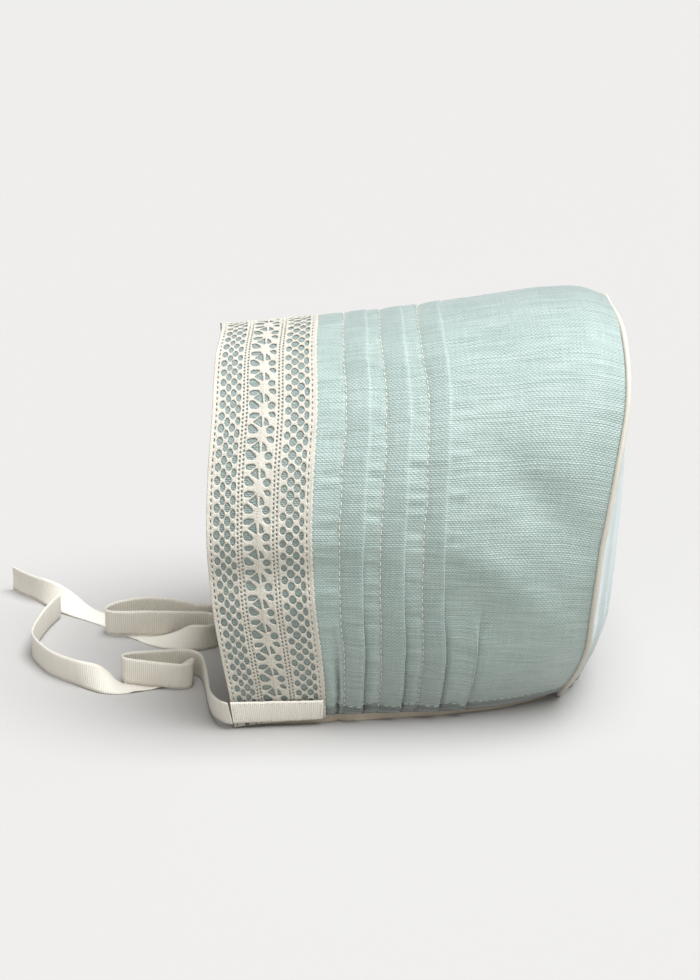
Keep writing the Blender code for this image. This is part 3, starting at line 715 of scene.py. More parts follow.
def wander(arc_mm, reach, seed):
    """A smooth uneven wave between about -1 and 1 that changes over a reach in millimetres."""
    draw = np.random.default_rng(seed)
    total = 0
    for stretch, weight in ((1, 1), (1.47, 0.8), (2.3, 0.7), (3.6, 0.5)):
        total = total + weight * np.sin(2 * math.pi * arc_mm / (reach * stretch) + draw.uniform(0, 7))
    return total / 2.2


# A column of the cloth: its places along, lift and puckering in millimetres, and its painted shading
Column = namedtuple("Column", "place lift pucker seed reach finish", defaults=(PUCKER_REACH, 0.0))


def columns_under_lace(arcs):
    """The face edge, turned in to the lining, and the flat linen in the shade of the lace."""
    flat = np.zeros(len(arcs))
    # The turned-in face edge and the linen under the lace are painted darker: painted shade
    for turned_in in FACE_TURN_IN:
        yield Column(flat, flat - turned_in, 0.0, 1, finish=-0.2)
    for share in np.linspace(0, 1, 14):
        yield Column(line_along(LACE_BACK, arcs) * share, flat, 0.0, 1, finish=-0.7 * (share < 0.98))


def columns_to_first_tuck(arcs):
    """Puckered cloth behind the lace, which falls into a crease near the neck with a bulge before it."""
    lace_edge, first_root = line_along(LACE_BACK, arcs), line_along(TUCK_STITCHES[0], arcs)
    creased = ease(np.abs(arcs), CREASE_TOP, 0.95) * CREASE_DEPTH / MM
    for share in CREASE_SHARES:
        place = lace_edge + (first_root - lace_edge) * share
        past = (place - line_along(CREASE, arcs)) * MM_ALONG
        valley = np.exp(-((past / np.where(past < 0, 2.4, 1.0)) ** 2))
        valley = valley - 0.7 * np.exp(-(((past + 3.8) / 1.8) ** 2))
        # The crease valley is painted darker: painted shade
        finish = -0.85 * creased * np.maximum(valley, 0)
        yield Column(place, -creased * valley, min(share * 2, 0.9), 11, finish=finish)


def tuck_root(number, arcs):
    """Where a tuck is sewn down: a line over the head that strays a little, as hand sewing does."""
    stray = SEWING_STRAY * wander(arcs * MIDDLE_MM, 21, 30 + number)
    return line_along(TUCK_STITCHES[number], arcs) + stray


def columns_of_tucks(arcs):
    """The tucks: low on the side they stand higher, their edges get less painted highlight, and painted
    shade is put behind them.
    """
    side_mm = arcs * MIDDLE_MM
    deeper = 0.75 + 1.5 * ease(np.abs(arcs), 0.5, 0.95)
    low = ease(np.abs(arcs), 0.5, 0.9)
    for number, fold in enumerate(TUCK_FOLDS):
        root = tuck_root(number, arcs)
        edge = line_along(fold, arcs) + FOLD_STRAY * wander(side_mm, 27, 40 + number)
        for column in TUCK_PROFILE:
            place = root + (edge - root) * column.share + column.past / MM_ALONG
            seed = 50 + number + int(column.share == 1)
            if number == 0 and column.share < 0:
                seed = 11
            # The fold edge gets a painted highlight high on the side and painted shade low on it; the flaps
            # get painted shade
            if column.worn > 0:
                finish = 0.6 * column.worn * (1 - low) - 0.3 * low
            else:
                finish = column.worn * (0.75 + 0.3 * low)
            # Painted shade on the cloth just behind the fold, wider and darker low on the side
            if column.share == 1 and column.height < 0.4:
                finish = finish - 1.5 * low * np.exp(-column.past / (0.5 + 1.1 * low))
            yield Column(place, deeper * column.height, column.pucker, seed, finish=finish)


def columns_of_pleat(arcs):
    """Cloth behind the last tuck, then the pleat, which is folded near the neck and flat above."""
    root, edge = line_along(PLEAT_ROOT, arcs), line_along(PLEAT_FOLD, arcs)
    folded = ease(np.abs(arcs), PLEAT_TOP, 0.80)
    last_fold = line_along(TUCK_FOLDS[-1], arcs) + 2.4 / MM_ALONG
    for share in (0.3, 0.55, 0.8):
        yield Column(last_fold + (root - 0.004 - last_fold) * share, np.zeros(len(arcs)), 0.9, 53)
    for number, column in enumerate(PLEAT_PROFILE):
        tucked = root + (edge - root) * column.share + column.past / MM_ALONG
        if column.share == 1:  # these lie an even 0.42 mm apart where the cloth is flat
            spread = edge + (number - len(PLEAT_PROFILE) + 9) * 0.42 / MM_ALONG
        else:
            spread = root + (edge - 4.2 / MM_ALONG - root) * column.share
        place = spread * (1 - folded) + tucked * folded
        # A painted highlight on the pleat's fold edge, and painted shade on the cloth behind it
        finish = 0.5 * max(column.worn, 0) * folded
        if column.share == 1 and column.height < 0.3:
            finish = finish - folded * math.exp(-column.past / 1.1)
        lift = folded * column.height * column.share * PLEAT_BUILD
        yield Column(place, lift, 0.5 * column.pucker, 54, finish=finish)


def columns_of_back(start):
    """Plain cloth from the pleat to the back seam, softly uneven."""
    for share in np.linspace(0, 1, 24)[1:]:
        pucker = 0.35 * (1 - share) + 0.12
        yield Column(start + (1 - start) * share, np.zeros(len(start)), pucker, 54, reach=11)


def crown_cloth_columns(arcs):
    """For every column of the crown: its places along, its heights in metres and its painted shading."""
    cloth = []
    for part in (columns_under_lace, columns_to_first_tuck, columns_of_tucks, columns_of_pleat):
        cloth += part(arcs)
    cloth += columns_of_back(cloth[-1].place)
    side_mm = arcs * MIDDLE_MM
    height = [c.lift + PUCKER_HEIGHT * c.pucker * wander(side_mm, c.reach, c.seed) for c in cloth]
    worn = [c.finish + np.zeros(len(arcs)) for c in cloth]
    return np.array([c.place for c in cloth]), np.array(height) * MM, np.array(worn)


# %% The crown cloth
HEM_ROWS = (  # millimetres above the neck edge, and lift over the crown in millimetres
    (6.6, 0.00), (6.1, -0.10), (5.6, 0.30), (4.8, 0.36), (3.6, 0.22), (2.4, -0.08),
    (1.2, -0.48), (0.45, -0.76), (0.12, -0.92), (0.0, -1.02), (0.0, -1.12), (0.0, -1.20),
)
CROWN_ROWS = 262
CROWN_WALL = 0.00012
PRESSED = 0.35  # how much of the folds' height is left at the neck edge
UNDER_PIPING = 0.0005
top_arcs = np.linspace(0, HEM_ARC - 0.9 / MIDDLE_MM, CROWN_ROWS // 2)
hem_down, hem_lift = np.array(HEM_ROWS).T
crown_arcs = both_sides(np.concatenate([top_arcs, above_edge(hem_down)]), -1)
crown_lift = both_sides(np.concatenate([0 * top_arcs, hem_lift * MM]))
crown_along, crown_height, crown_painted_shading = crown_cloth_columns(crown_arcs)
fade = 1 - ease(np.abs(crown_arcs), above_edge(4), 1)
crown_height = crown_height * (PRESSED + (1 - PRESSED) * fade)
columns, rows = crown_along.shape
crown_places = crown_point(crown_along, crown_arcs[None], crown_height + crown_lift)
seam_point, _, seam_back = seam_directions(crown_arcs)
crown_places = np.concatenate([crown_places, (seam_point + seam_back * UNDER_PIPING)[None]], axis=0)
# The cloth is measured along one row and down one column, so its threads keep an even pitch
row_mm, column_mm = run_along(crown_places[:, rows // 3]) / MM, run_along(crown_places[60]) / MM
bm, at = cloth_from(crown_places, row_mm, column_mm)
face_away(bm)
# Painted shade over the last few millimetres above the neck edge, on the hem
crown_painted_shading = crown_painted_shading - 1.1 * ease(np.abs(crown_arcs), above_edge(7), above_edge(5))  # hem in shade
crown_painted_shading = np.concatenate([crown_painted_shading, crown_painted_shading[-1:]])
painted_shading_layer = bm.verts.layers.float.new("worn")
for vert, value in zip(bm.verts, crown_painted_shading[at].tolist()):
    vert[painted_shading_layer] = value
finish_piece("crown_cloth", bm, crown_linen, "crown_linen", ("crown",), CROWN_WALL)
print(f"crown cloth: {columns + 1} columns x {rows} rows")

# %% [markdown]
# ## The lining
# The lining is a plain cotton bag of the same shape, sewn in at the face and the back seam. It is a
# little longer than the linen, so it carries the bonnet and shows as a cream strip under the hem. It is
# the crown surface again, set in by the thickness of the linen.

# %% Cotton
def cotton_material(name, dark, light, pitch=0.35):
    """Plain cotton: a fine close weave with soft flecks."""
    material, tree, shader = new_material(name, 0.88, sheen=0.15)
    place = flat_place(tree)
    cross = maths(tree, "MULTIPLY", *(wave(tree, far, 2 * pitch) for far in distances(tree, place)))
    fleck = noise_on(tree, place, (1.4, 1.4), 3.0, 0.6)
    cloudy = noise_on(tree, place, (0.06, 0.06), 2.0)
    share = 0.1
    for part, weight in ((cross, 0.1), (fleck, 0.5), (cloudy, 0.3)):
        share = maths(tree, "MULTIPLY_ADD", part, weight, share)
    colour = mix_colours(tree, share, dark, light)
    dress(tree, shader, colour, maths(tree, "MULTIPLY_ADD", fleck, 1.2, cross), 0.6, 0.00008)
    return material


lining_cotton = cotton_material("cream_lining_cotton", (0.40, 0.35, 0.27), (0.60, 0.53, 0.43))

# %% The lining cloth
LINING_WALL = 0.0007
LINING_COLUMNS = 64
LINING_EASE = 0.00012
CREASE_REACH = 0.0022
lining_half = np.concatenate([np.linspace(0, 1, 84), [1.0, 1.0, 1.0]])
lining_arcs = both_sides(lining_half, -1)
drop = np.zeros(len(lining_half))
drop[-3:] = (0.5, 0.85, 1.0)
drop = both_sides(drop)
lining_front = 2 * GAP / CROWN_LENGTH
lining_back = 1 - (PIPING_RADIUS + 2 * LINEN_DEPTH) / CROWN_LENGTH
lining_share = np.linspace(lining_front, lining_back, LINING_COLUMNS + 1)
creased = ease(np.abs(lining_arcs), CREASE_TOP, 1) * CREASE_DEPTH
past_crease = (lining_share[:, None] - line_along(CREASE, lining_arcs)[None]) * CROWN_LENGTH
valley = np.exp(-((past_crease / CREASE_REACH) ** 2))
ripple = LINING_EASE * wander(lining_share[:, None] * CROWN_LENGTH / MM + 0 * lining_arcs[None], 9, 71)
lining_lift = -(LINEN_DEPTH + GAP) - creased[None] * valley - LINING_EASE
lining_lift = lining_lift + ripple * ease(np.abs(lining_arcs), 0.8, 1)
lining_places = crown_point(*np.broadcast_arrays(lining_share[:, None], lining_arcs[None]), lining_lift)
lining_places[:, :, 2] *= 1 - drop[None]
lining_places[:, :, 2] += drop[None] * 0.00004  # the turned hem rests on the table
bm, _ = cloth_from(lining_places, lining_share * CROWN_LENGTH / MM, lining_arcs * MIDDLE_MM)
face_away(bm)
finish_piece("lining_cloth", bm, lining_cotton, "lining_cotton", ("lining",), LINING_WALL)

# %% [markdown]
# ## The lace band
# The lace is a torchon-like cotton trimming with a net of staggered holes at both sides and a row of
# petals about a spine between two ladders of slots. It repeats every 9.8 mm. The band starts as a fine
# grid. Cells inside a hole are deleted and the points round it are drawn onto its outline, so every
# hole is really cut through. The threads between them are raised in the middle, as plaited cords are.

# %% Lace pattern
LACE_REPEAT = 9.8  # millimetres
LACE_WIDTH = 36.7  # millimetres at the middle of the side
Opening = namedtuple("Opening", "across phase half_across half_down")
LACE_OPENINGS = []
for across, half_across, half_down, phases in (
    (0.094, 0.0285, 0.172, (0.10, 0.60)),
    (0.147, 0.0235, 0.176, (0.35, 0.85)),
    (0.197, 0.0285, 0.172, (0.10, 0.60)),
    (0.247, 0.0245, 0.165, (0.35, 0.85)),
    (0.722, 0.0300, 0.156, (0.08, 0.58)),
    (0.783, 0.0355, 0.174, (0.33, 0.83)),
    (0.845, 0.0330, 0.168, (0.08, 0.58)),
    (0.900, 0.0235, 0.176, (0.33, 0.83)),
):
    LACE_OPENINGS += [Opening(across, phase, half_across, half_down) for phase in phases]
for across, count, half_down in (  # small slots beside the cords and along both borders
    (0.040, 4, 0.080), (0.294, 6, 0.048), (0.328, 6, 0.052),
    (0.630, 6, 0.052), (0.664, 6, 0.048), (0.948, 4, 0.075),
):
    first = 0.5 if across in (0.294, 0.630) else 0.25
    wide = 0.0052 if count == 4 else 0.0074
    LACE_OPENINGS += [Opening(across, (n + first) / count, wide, half_down) for n in range(count)]
LACE_OPENINGS.append(Opening(0.562, 0.800, 0.0350, 0.148))

# One petal about the spine is round, the last opening above. The others are wedges, whose corners are
# a share across the band and a share of the repeat down it.
LACE_WEDGES = (
    ((0.352, 0.11), (0.385, 0.05), (0.440, 0.075), (0.449, 0.17), (0.406, 0.29), (0.356, 0.26)),
    ((0.464, 0.20), (0.480, 0.67), (0.391, 0.43)),
    ((0.349, 0.55), (0.383, 0.50), (0.450, 0.78), (0.422, 0.90), (0.366, 0.87), (0.345, 0.70)),
    ((0.532, 0.09), (0.580, 0.06), (0.607, 0.23), (0.592, 0.32), (0.552, 0.25)),
    ((0.499, 0.24), (0.499, 0.62), (0.545, 0.585), (0.532, 0.40)),
)
WEDGE_ROUNDING = 10
HOLE_SHIFT = 0.09  # millimetres that a hole of hand-guided lace strays
HOLE_SWELL = 0.06
OVAL_POWER = 1.8  # 2 is an ellipse, less is nearer a diamond


def ellipse_ratio(hole, x, y):
    """1 on the outline of an oval opening, less inside; x and y are millimetres from its middle."""
    wide, tall = hole.half_across * LACE_WIDTH, hole.half_down * LACE_REPEAT
    return (np.abs(x / wide) ** OVAL_POWER + np.abs(y / tall) ** OVAL_POWER) ** (1 / OVAL_POWER)


def wedge_ratio(corners, x, y):
    """The same for a wedge with rounded corners, from how far a point lies past each of its sides."""
    total = np.zeros(len(x))
    for (x0, y0), (x1, y1) in zip(corners, np.roll(corners, -1, axis=0)):
        reach = x0 * y1 - x1 * y0
        past = ((y1 - y0) * x - (x1 - x0) * y) / reach
        total += np.maximum(past, 0) ** WEDGE_ROUNDING
    return total ** (1 / WEDGE_ROUNDING)


def opening_shapes():
    """Every opening of a repeat: its middle, whether it is small, and the function of its outline."""
    for hole in LACE_OPENINGS:
        yield hole.across, hole.phase, hole.half_across < 0.01, lambda x, y, h=hole: ellipse_ratio(h, x, y)
    for wedge in LACE_WEDGES:
        middle = np.mean(wedge, axis=0)
        corners = (np.array(wedge) - middle) * (LACE_WIDTH, LACE_REPEAT)
        yield *middle, False, lambda x, y, c=corners: wedge_ratio(c, x, y)


def opening_depths(across, down):
    """For points of the band: how far each lies outside the nearest opening in millimetres (inside is
    negative), and the step in millimetres that would bring it onto that opening's outline."""
    nearest = np.full(len(across), 1e9)
    step = np.zeros((len(across), 2))
    for number, (middle, phase, small, outline) in enumerate(opening_shapes()):
        stray = np.random.default_rng(300 + number).uniform(-1, 1, (REPEATS + 3, 3)) * (0.3 if small else 1)
        which = np.rint(down - phase).astype(int) + 1
        swell = 1 + HOLE_SWELL * stray[which, 2]
        x = (across - middle) * LACE_WIDTH - HOLE_SHIFT * stray[which, 0]
        y = (down - phase - which + 1) * LACE_REPEAT - HOLE_SHIFT * stray[which, 1]
        ratio = np.maximum(outline(x / swell, y / swell), 1e-6)
        outside = (1 - 1 / ratio) * np.hypot(x, y)
        closer = outside < nearest
        nearest[closer] = outside[closer]
        step[closer] = np.stack([x, y], 1)[closer] * (1 / ratio[closer] - 1)[:, None]
    return nearest, step


# %% Lace cotton
def lace_material(name):
    """Ivory cotton thread: short bright plies over darker hollows, twisted at a slant."""
    material, tree, shader = new_material(name, 0.8, sheen=0.2)
    place = flat_place(tree)
    ply = noise_on(tree, place, (1.7, 3.0), 2.0, 0.6)
    speck = noise_on(tree, place, (3.8, 3.2), 2.0, 0.5)
    cloudy = noise_on(tree, place, (0.05, 0.08), 2.0)
    share = weigh_noise(tree, 0.62, ((ply, 1.8), (speck, 1.4), (cloudy, 0.5)))
    colour = mix_colours(tree, share, (0.32, 0.295, 0.24), (0.69, 0.66, 0.58))
    dress(tree, shader, colour, maths(tree, "MULTIPLY_ADD", ply, 1.3, speck), 0.9, 0.00022)
    return material


lace_cotton = lace_material("ivory_lace_cotton")

# %% The lace band
LACE_CELLS = 112
LACE_ROWS_PER_REPEAT = 29
LACE_FOOT = 0.00028
LACE_WALL = 0.00022
SNAP_REACH = 0.30  # millimetres that a point may be drawn onto the outline of its opening
THREAD_HEIGHT = 0.17  # millimetres that a thread stands up, this far from the opening beside it
THREAD_REACH = 0.32
PLAITS = 9  # turns of a cord in one repeat
REPEATS = 2 * round(side_length(0.1) / (LACE_REPEAT * MM))


def cord_relief(across, centre, half):
    """A round cord that runs down the band, by its place and half width in shares of the width."""
    return np.sqrt(np.clip(1 - ((across - centre) / half) ** 2, 0, 1))


def lace_relief(across, down, depth):
    """Height in millimetres: threads rise away from each hole, and cords run down the band."""
    plait = 0.5 + 0.5 * np.cos(2 * math.pi * down * PLAITS)
    relief = THREAD_HEIGHT * np.sqrt(1 - (1 - np.clip(depth / THREAD_REACH, 0, 1)) ** 2)
    for centre, half, height in (  # the cords at the borders and beside the slots
        (0.010, 0.011, 0.22), (0.038, 0.010, 0.16), (0.068, 0.009, 0.12),
        (0.271, 0.010, 0.14), (0.308, 0.009, 0.10), (0.347, 0.011, 0.14),
        (0.607, 0.011, 0.14), (0.646, 0.009, 0.10), (0.684, 0.010, 0.14),
        (0.922, 0.009, 0.12), (0.952, 0.010, 0.14), (0.984, 0.012, 0.20),
    ):
        relief += height * cord_relief(across, centre, half) * (0.8 + 0.2 * plait)
    relief += 0.16 * cord_relief(across, 0.489, 0.017) * (0.6 + 0.4 * plait)
    return relief


def lay_lace(name, first_repeat, last_repeat):
    """One half of the band, from a whole number of repeats, with its openings cut through."""
    rows = (last_repeat - first_repeat) * LACE_ROWS_PER_REPEAT
    bm, place = flat_grid(LACE_CELLS, rows)
    across = place[:, 0] / LACE_CELLS
    down = first_repeat + place[:, 1] / LACE_ROWS_PER_REPEAT
    centres = np.array([face.calc_center_median()[:2] for face in bm.faces])
    low, high = centres.min(axis=0), centres.max(axis=0)
    cell = np.rint((centres - low) / (high - low) * (LACE_CELLS - 1, rows - 1)) + 0.5
    cell_down = first_repeat + cell[:, 1] / LACE_ROWS_PER_REPEAT
    inside = opening_depths(cell[:, 0] / LACE_CELLS, cell_down)[0] < 0
    inside &= (cell[:, 1] > 1) & (cell[:, 1] < rows - 1)
    bm.faces.ensure_lookup_table()
    bmesh.ops.delete(bm, geom=[f for f, gone in zip(bm.faces, inside) if gone], context="FACES_ONLY")
    bmesh.ops.delete(bm, geom=[e for e in bm.edges if not e.link_faces], context="EDGES_FACES")
    rim = np.array([vert.is_boundary for vert in bm.verts])
    rim &= (place > 0).all(axis=1) & (place < (LACE_CELLS, rows)).all(axis=1)
    depth, step = opening_depths(across, down)
    snap = rim & (np.abs(depth) < SNAP_REACH)
    across = np.where(snap, across + step[:, 0] / LACE_WIDTH, across)
    down = np.where(snap, down + step[:, 1] / LACE_REPEAT, down)
    depth = np.where(snap, 0, np.maximum(depth, 0))
    relief = lace_relief(across, down, depth)
    picot = 0.010 * np.abs(np.sin(math.pi * down * 4)) - 0.004
    arcs = -1 + 2 * np.clip(down / REPEATS, 0, 1)
    along = line_along(LACE_BACK, arcs) * (across + picot * ease(across, 0.965, 1.0))
    over_hem = 0.45 * ease(np.abs(arcs), HEM_ARC - 0.01, HEM_ARC + 0.01)
    sway = 0.10 * wander(down * LACE_REPEAT, 13, 91) * ease(across, 0.3, 1.0)
    points = crown_point(along, arcs, LACE_FOOT + (relief + over_hem + sway) * MM)
    lay_cloth(bm, points, np.stack([across * LACE_WIDTH, down * LACE_REPEAT], 1))
    bmesh.ops.delete(bm, geom=[vert for vert in bm.verts if not vert.link_faces], context="VERTS")
    face_away(bm)
    finish_piece(name, bm, lace_cotton, "lace_cotton", ("lace_band",), LACE_WALL)


lay_lace("lace_net_right", 0, REPEATS // 2)
lay_lace("lace_net_left", REPEATS // 2, REPEATS)
print(f"lace: {REPEATS} repeats, {len(LACE_OPENINGS) + len(LACE_WEDGES)} openings in each")

# %% [markdown]
# ## Piping and back panel
# Piping is a cord wrapped in a bias strip and caught in the seam, so it stands round and smooth between
# the linen pieces. It is a narrow sheet rolled into a tube along the seam and closed at both ends. The
# back panel is a horseshoe of linen, gathered along that seam: folds are deep where the stitches draw
# the cloth together and die away towards the middle.

# %% The piping
PIPING_SUNK = 0.0015  # over the crest the seam is pulled tight and the cord sinks in


def piping_centre(arc):
    """The middle of the cord beside the back seam."""
    point, out, back = seam_directions(arc)
    sunk = PIPING_SUNK * (1 - ease(np.abs(arc), 0, 0.16))
    return point + back * (PIPING_RADIUS + GAP) + out * (GAP - sunk)[..., None]


PIPING_RINGS = 260
PIPING_SIDES = 14
piping_cotton = cotton_material("cream_bias_cotton", (0.46, 0.43, 0.365), (0.68, 0.65, 0.575), 0.3)
ring_arcs = np.linspace(1, -1, PIPING_RINGS)
centres = piping_centre(ring_arcs)
centres[[0, -1], 2] = GAP
tangents = np.gradient(centres, axis=0)
tangents[0], tangents[-1] = (0, 0, 1), (0, 0, -1)
tangents = unit(tangents)
ring_across = unit(np.cross(tangents, seam_directions(ring_arcs)[1]))
ring_up = np.cross(ring_across, tangents)
swell = PIPING_RADIUS * (1 + 0.05 * wander(ring_arcs * MIDDLE_MM, 5, 101))
angles = np.arange(PIPING_SIDES + 1) % PIPING_SIDES * 2 * math.pi / PIPING_SIDES
rings = centres[:, None] + swell[:, None, None] * (
    ring_across[:, None] * np.cos(angles)[None, :, None] + ring_up[:, None] * np.sin(angles)[None, :, None]
)
sides = np.arange(PIPING_SIDES + 1)
bm, _ = cloth_from(rings, run_along(centres) / MM, np.minimum(sides, PIPING_SIDES - sides) * 0.5)
bmesh.ops.remove_doubles(bm, verts=bm.verts, dist=0.00002)
bmesh.ops.holes_fill(bm, edges=[e for e in bm.edges if e.is_boundary], sides=PIPING_SIDES)
bmesh.ops.recalc_face_normals(bm, faces=bm.faces)
finish_piece("piping_cord", bm, piping_cotton, "piping_cotton", ("piping",))

# %% The back panel
PANEL_TURN = math.radians(28)
GATHER_DEPTH = 0.0009
GATHER_COUNT = 6
GATHER_MIDDLE_SHARE = 0.45
GATHER_TOP_SHARE = 0.2
GATHER_POWER = 6
PUCKER_BY_RIM = 0.00035
RIM_REACH = 0.006
PANEL_WALL = 0.0006
PANEL_COLUMNS = 132
PANEL_ROWS = 96
PANEL_HALF_MM = 55  # half its flat width, for the pitch of the threads


def panel_rim(arc):
    """Where the panel's rim meets the piping at places on the seam."""
    _, out, back = seam_directions(arc)
    turned = back * math.sin(PANEL_TURN) - out * math.cos(PANEL_TURN)
    return piping_centre(arc) + turned * (PIPING_RADIUS * 0.75)


def panel_points(across, arc):
    """The back panel's outer face: across runs from -1 to 1 between its rims, at one height."""
    rim = panel_rim(arc)
    rim_y = rim[..., 1] * (1 + across) / 2 + panel_rim(-arc)[..., 1] * (1 - across) / 2
    bulge = BACK_BULGE * edge_value("bulge", arc) * (1 - across * across)
    gathers = GATHER_MIDDLE_SHARE + (1 - GATHER_MIDDLE_SHARE) * np.abs(2 * arc - 1)
    gathers = gathers * np.minimum(arc / GATHER_TOP_SHARE, 1) * (1 - np.abs(across) ** GATHER_POWER)
    drift = 0.35 * np.sin(5 * across + 3 * arc)
    fold = GATHER_DEPTH * gathers * np.cos(math.pi * GATHER_COUNT * (across + 1) + drift)
    near_rim = np.exp(-((1 - np.abs(across)) * rim[..., 0] / RIM_REACH))
    small = PUCKER_BY_RIM * near_rim * wander(arc * MIDDLE_MM + 9 * across, 4.2, 111)
    small = small * ease(arc, 0.02, 0.1)
    y = rim_y + bulge + fold + small + 0.0003 * wander(across * 31 + 0 * arc, 9, 113) * gathers
    z = np.where(arc < 1, rim[..., 2], GAP)
    return np.stack([rim[..., 0] * across, y, np.maximum(z, GAP)], -1)


panel_arcs = np.linspace(0, 1, PANEL_ROWS + 1)
panel_across = np.linspace(-1, 1, PANEL_COLUMNS + 1)
grid_across, grid_arc = np.meshgrid(panel_across, panel_arcs, indexing="ij")
panel = panel_points(grid_across, grid_arc)
bm, _ = cloth_from(panel, panel_across * PANEL_HALF_MM, panel_arcs * MIDDLE_MM)
bmesh.ops.remove_doubles(bm, verts=bm.verts, dist=0.00002)
face_away(bm)
back_linen = linen_material("back_linen")
finish_piece("back_cloth", bm, back_linen, "back_panel_linen", ("back_panel",), PANEL_WALL)

# %% [markdown]
# ## Ribbon tabs
# At each front corner the tie's ribbon runs back over the lace and is sewn down, so the pull of a bow is
# spread along the neck edge. It is the same grosgrain, its ribs upright, and it follows the neck edge; its
# colours are set lighter than the ties' as a painted highlight.

# %% The tabs
TAB_SHARE = 0.27
TAB_MM = TAB_SHARE * CROWN_LENGTH / MM
RIBBON_LIFT = 0.0034
TAB_LIFT = 0.0019
TAB_ROWS = 12
tab_steps = int(TAB_SHARE * CROWN_LENGTH / RIB_PITCH * RIB_STEPS)
# The same ribbon as the ties, with lighter colours: a painted highlight
tab_grosgrain_painted_lighter = ribbon_material("grosgrain_painted_lighter", (0.75, 0.70, 0.60), (0.96, 0.935, 0.865))


def tab_place(run_mm, share_down):
    """Place on the crown of a point of the tab: millimetres back from the face edge and a share down."""
    along = run_mm * MM / CROWN_LENGTH
    length = side_length(along)
    hem = section_value("hem", along) * HEM_LIFT
    bottom = np.minimum(1 - (RIBBON_LIFT - hem) / length, 0.9995)
    return along, bottom - RIBBON_WIDTH / length * (1 - share_down)


for side, word in ((1, "left"), (-1, "right")):
    run_mm = np.linspace(0, TAB_MM, tab_steps + 1)
    share_down = np.linspace(0, 1, TAB_ROWS + 1)
    along, arc = tab_place(run_mm[:, None], share_down[None])
    rib = np.cos(2 * math.pi * run_mm / (RIB_PITCH / MM)) * RIB_HEIGHT
    end_tuck = 0.0003 * ease(run_mm, TAB_MM - 1.2, TAB_MM)
    edge = 0.00018 * (2 * share_down - 1) ** 6
    uneven = 0.00012 * wander(run_mm[:, None] + 4 * share_down[None], 9, 121)
    lift = TAB_LIFT + (rib - end_tuck)[:, None] - edge[None] + uneven
    bm, _ = cloth_from(crown_point(along, side * arc, lift), run_mm, share_down * RIBBON_WIDTH / MM)
    face_away(bm)
    node, slot = f"ribbon_tab_{word}", f"tab_{word}_ribbon"
    finish_piece(f"tab_ribbon_{word}", bm, tab_grosgrain_painted_lighter, slot, (node,), RIBBON_WALL)

# %% [markdown]
# ## Stitches
# The tucks, the hem and the tabs are sewn by hand in running stitch with cream cotton. One stitch is a
# small stretched ball, half sunk in the cloth, and there is one for each 2.8 mm of seam.

# %% Stitch helpers
STITCH_PITCH = 2.8
STITCH_LENGTH = 2.0
STITCH_RADIUS = 0.19
HEM_STITCH_RADIUS = 0.13
TAB_STITCH_RADIUS = 0.16
STITCH_BATCH = 40


def stitch_material():
    """Two-ply cream cotton, twisted at a slant."""
    material, tree, shader = new_material("cream_sewing_cotton", 0.7, sheen=0.2)
    place = add_node(tree, "TexCoord").outputs["Object"]
    fleck = noise_on(tree, place, (2600, 2600), 2.0)
    colour = mix_colours(tree, fleck, (0.48, 0.44, 0.36), (0.74, 0.70, 0.60))
    dress(tree, shader, colour, fleck, 0.5, 0.00008)
    return material


sewing_cotton = stitch_material()


def add_stitch(bm, middle, direction, normal, length, radius):
    """One stitch: a stretched ball along the seam."""
    direction = Vector(direction).normalized()
    across = Vector(normal).cross(direction).normalized()
    up = direction.cross(across)
    turn = Matrix((direction * length / 2, across * radius, up * radius)).transposed().to_4x4()
    turn.translation = Vector(middle)
    bmesh.ops.create_uvsphere(bm, u_segments=8, v_segments=5, radius=1, matrix=turn)


def read_at(run, rows, at):
    """A row of three values between the rows of a table."""
    return np.array([np.interp(at, run, column) for column in rows.T])


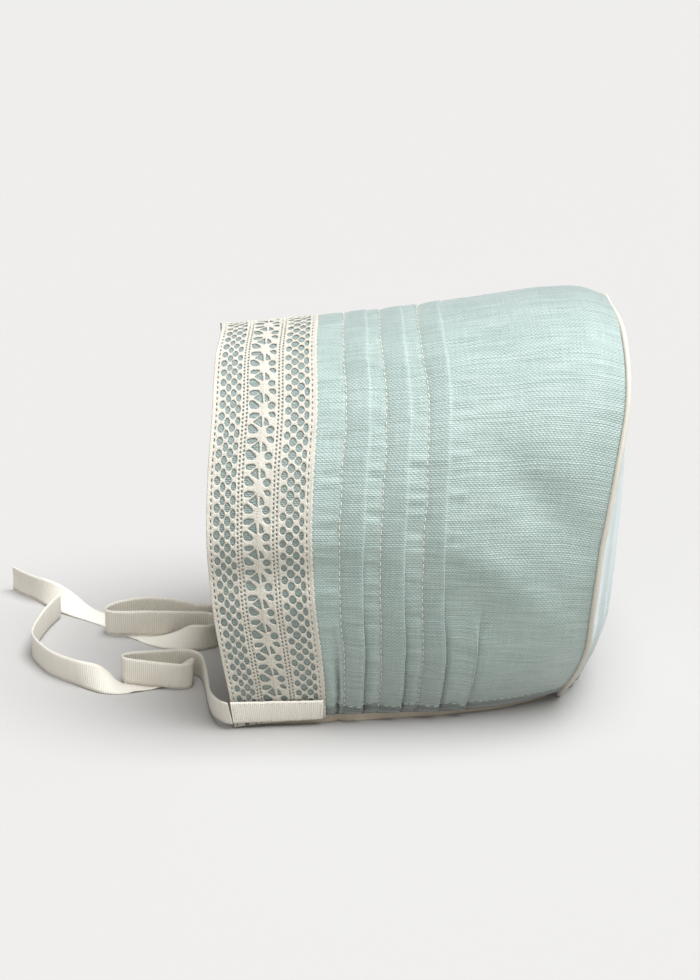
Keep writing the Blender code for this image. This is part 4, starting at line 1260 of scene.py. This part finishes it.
def sew_line(bm, along, arc, lift, pitch, length, radius, seed):
    """Running stitches along a line of places on the crown; lift is in metres."""
    points, normals = crown_at(along, arc)
    points = points + normals * np.asarray(lift)[..., None]
    run = run_along(points)
    draw = np.random.default_rng(seed)
    stops = np.arange(pitch, run[-1] / MM - pitch, pitch)
    for first in range(0, len(stops), STITCH_BATCH):
        batch = bmesh.new()
        for stop in stops[first : first + STITCH_BATCH]:
            at = (stop + draw.uniform(-0.18, 0.18)) * MM
            middle, normal = read_at(run, points, at), read_at(run, normals, at)
            ahead = read_at(run, points, at + 0.0005) - middle
            long = length * draw.uniform(0.86, 1.14) * MM
            add_stitch(batch, middle, ahead, normal, long, radius * MM)
        sewn = bpy.data.meshes.new("batch")
        batch.to_mesh(sewn)
        batch.free()
        bm.from_mesh(sewn)
        bpy.data.meshes.remove(sewn)


# %% Stitches on the tucks and the hem
bm = bmesh.new()
seam_arcs = np.linspace(-0.995, 0.995, 900)
for number in range(len(TUCK_STITCHES)):
    root = tuck_root(number, seam_arcs)
    sew_line(bm, root, seam_arcs, 0.00004, STITCH_PITCH, STITCH_LENGTH, STITCH_RADIUS, 200 + number)
hem_stitch_arc = above_edge(6.1)
for side in (1, -1):
    hem_along = np.linspace(0.30, 0.97, 400)
    row = np.argmin(np.abs(crown_arcs - side * hem_stitch_arc))
    order = np.argsort(crown_along[:, row])
    over_tucks = np.interp(hem_along, crown_along[order, row], crown_height[order, row]) + 0.00003
    hem_arc = side * hem_stitch_arc + 0 * hem_along
    sew_line(bm, hem_along, hem_arc, over_tucks, STITCH_PITCH, STITCH_LENGTH, HEM_STITCH_RADIUS, 210)
finish_piece("linen_stitches", bm, sewing_cotton, "piping_cotton")

# %% Stitches on the tabs
bm = bmesh.new()
for side in (1, -1):
    run_mm = np.linspace(1.2, TAB_MM - 0.8, 200)
    down = np.linspace(0.02, 0.98, 60)
    for run, share_down, pitch, length, seed in (  # both long edges, then both ends
        (run_mm, 0.07, 2.0, 1.2, 220),
        (run_mm, 0.93, 2.0, 1.2, 221),
        (np.full(60, 0.9), down, 1.5, 1.0, 222),
        (np.full(60, TAB_MM - 0.9), down, 1.5, 1.0, 223),
    ):
        along, arc = tab_place(run, share_down)
        sew_line(bm, along, side * arc, TAB_LIFT + 0.00005, pitch, length, TAB_STITCH_RADIUS, seed)
finish_piece("tab_stitches", bm, sewing_cotton, "tab_left_ribbon")
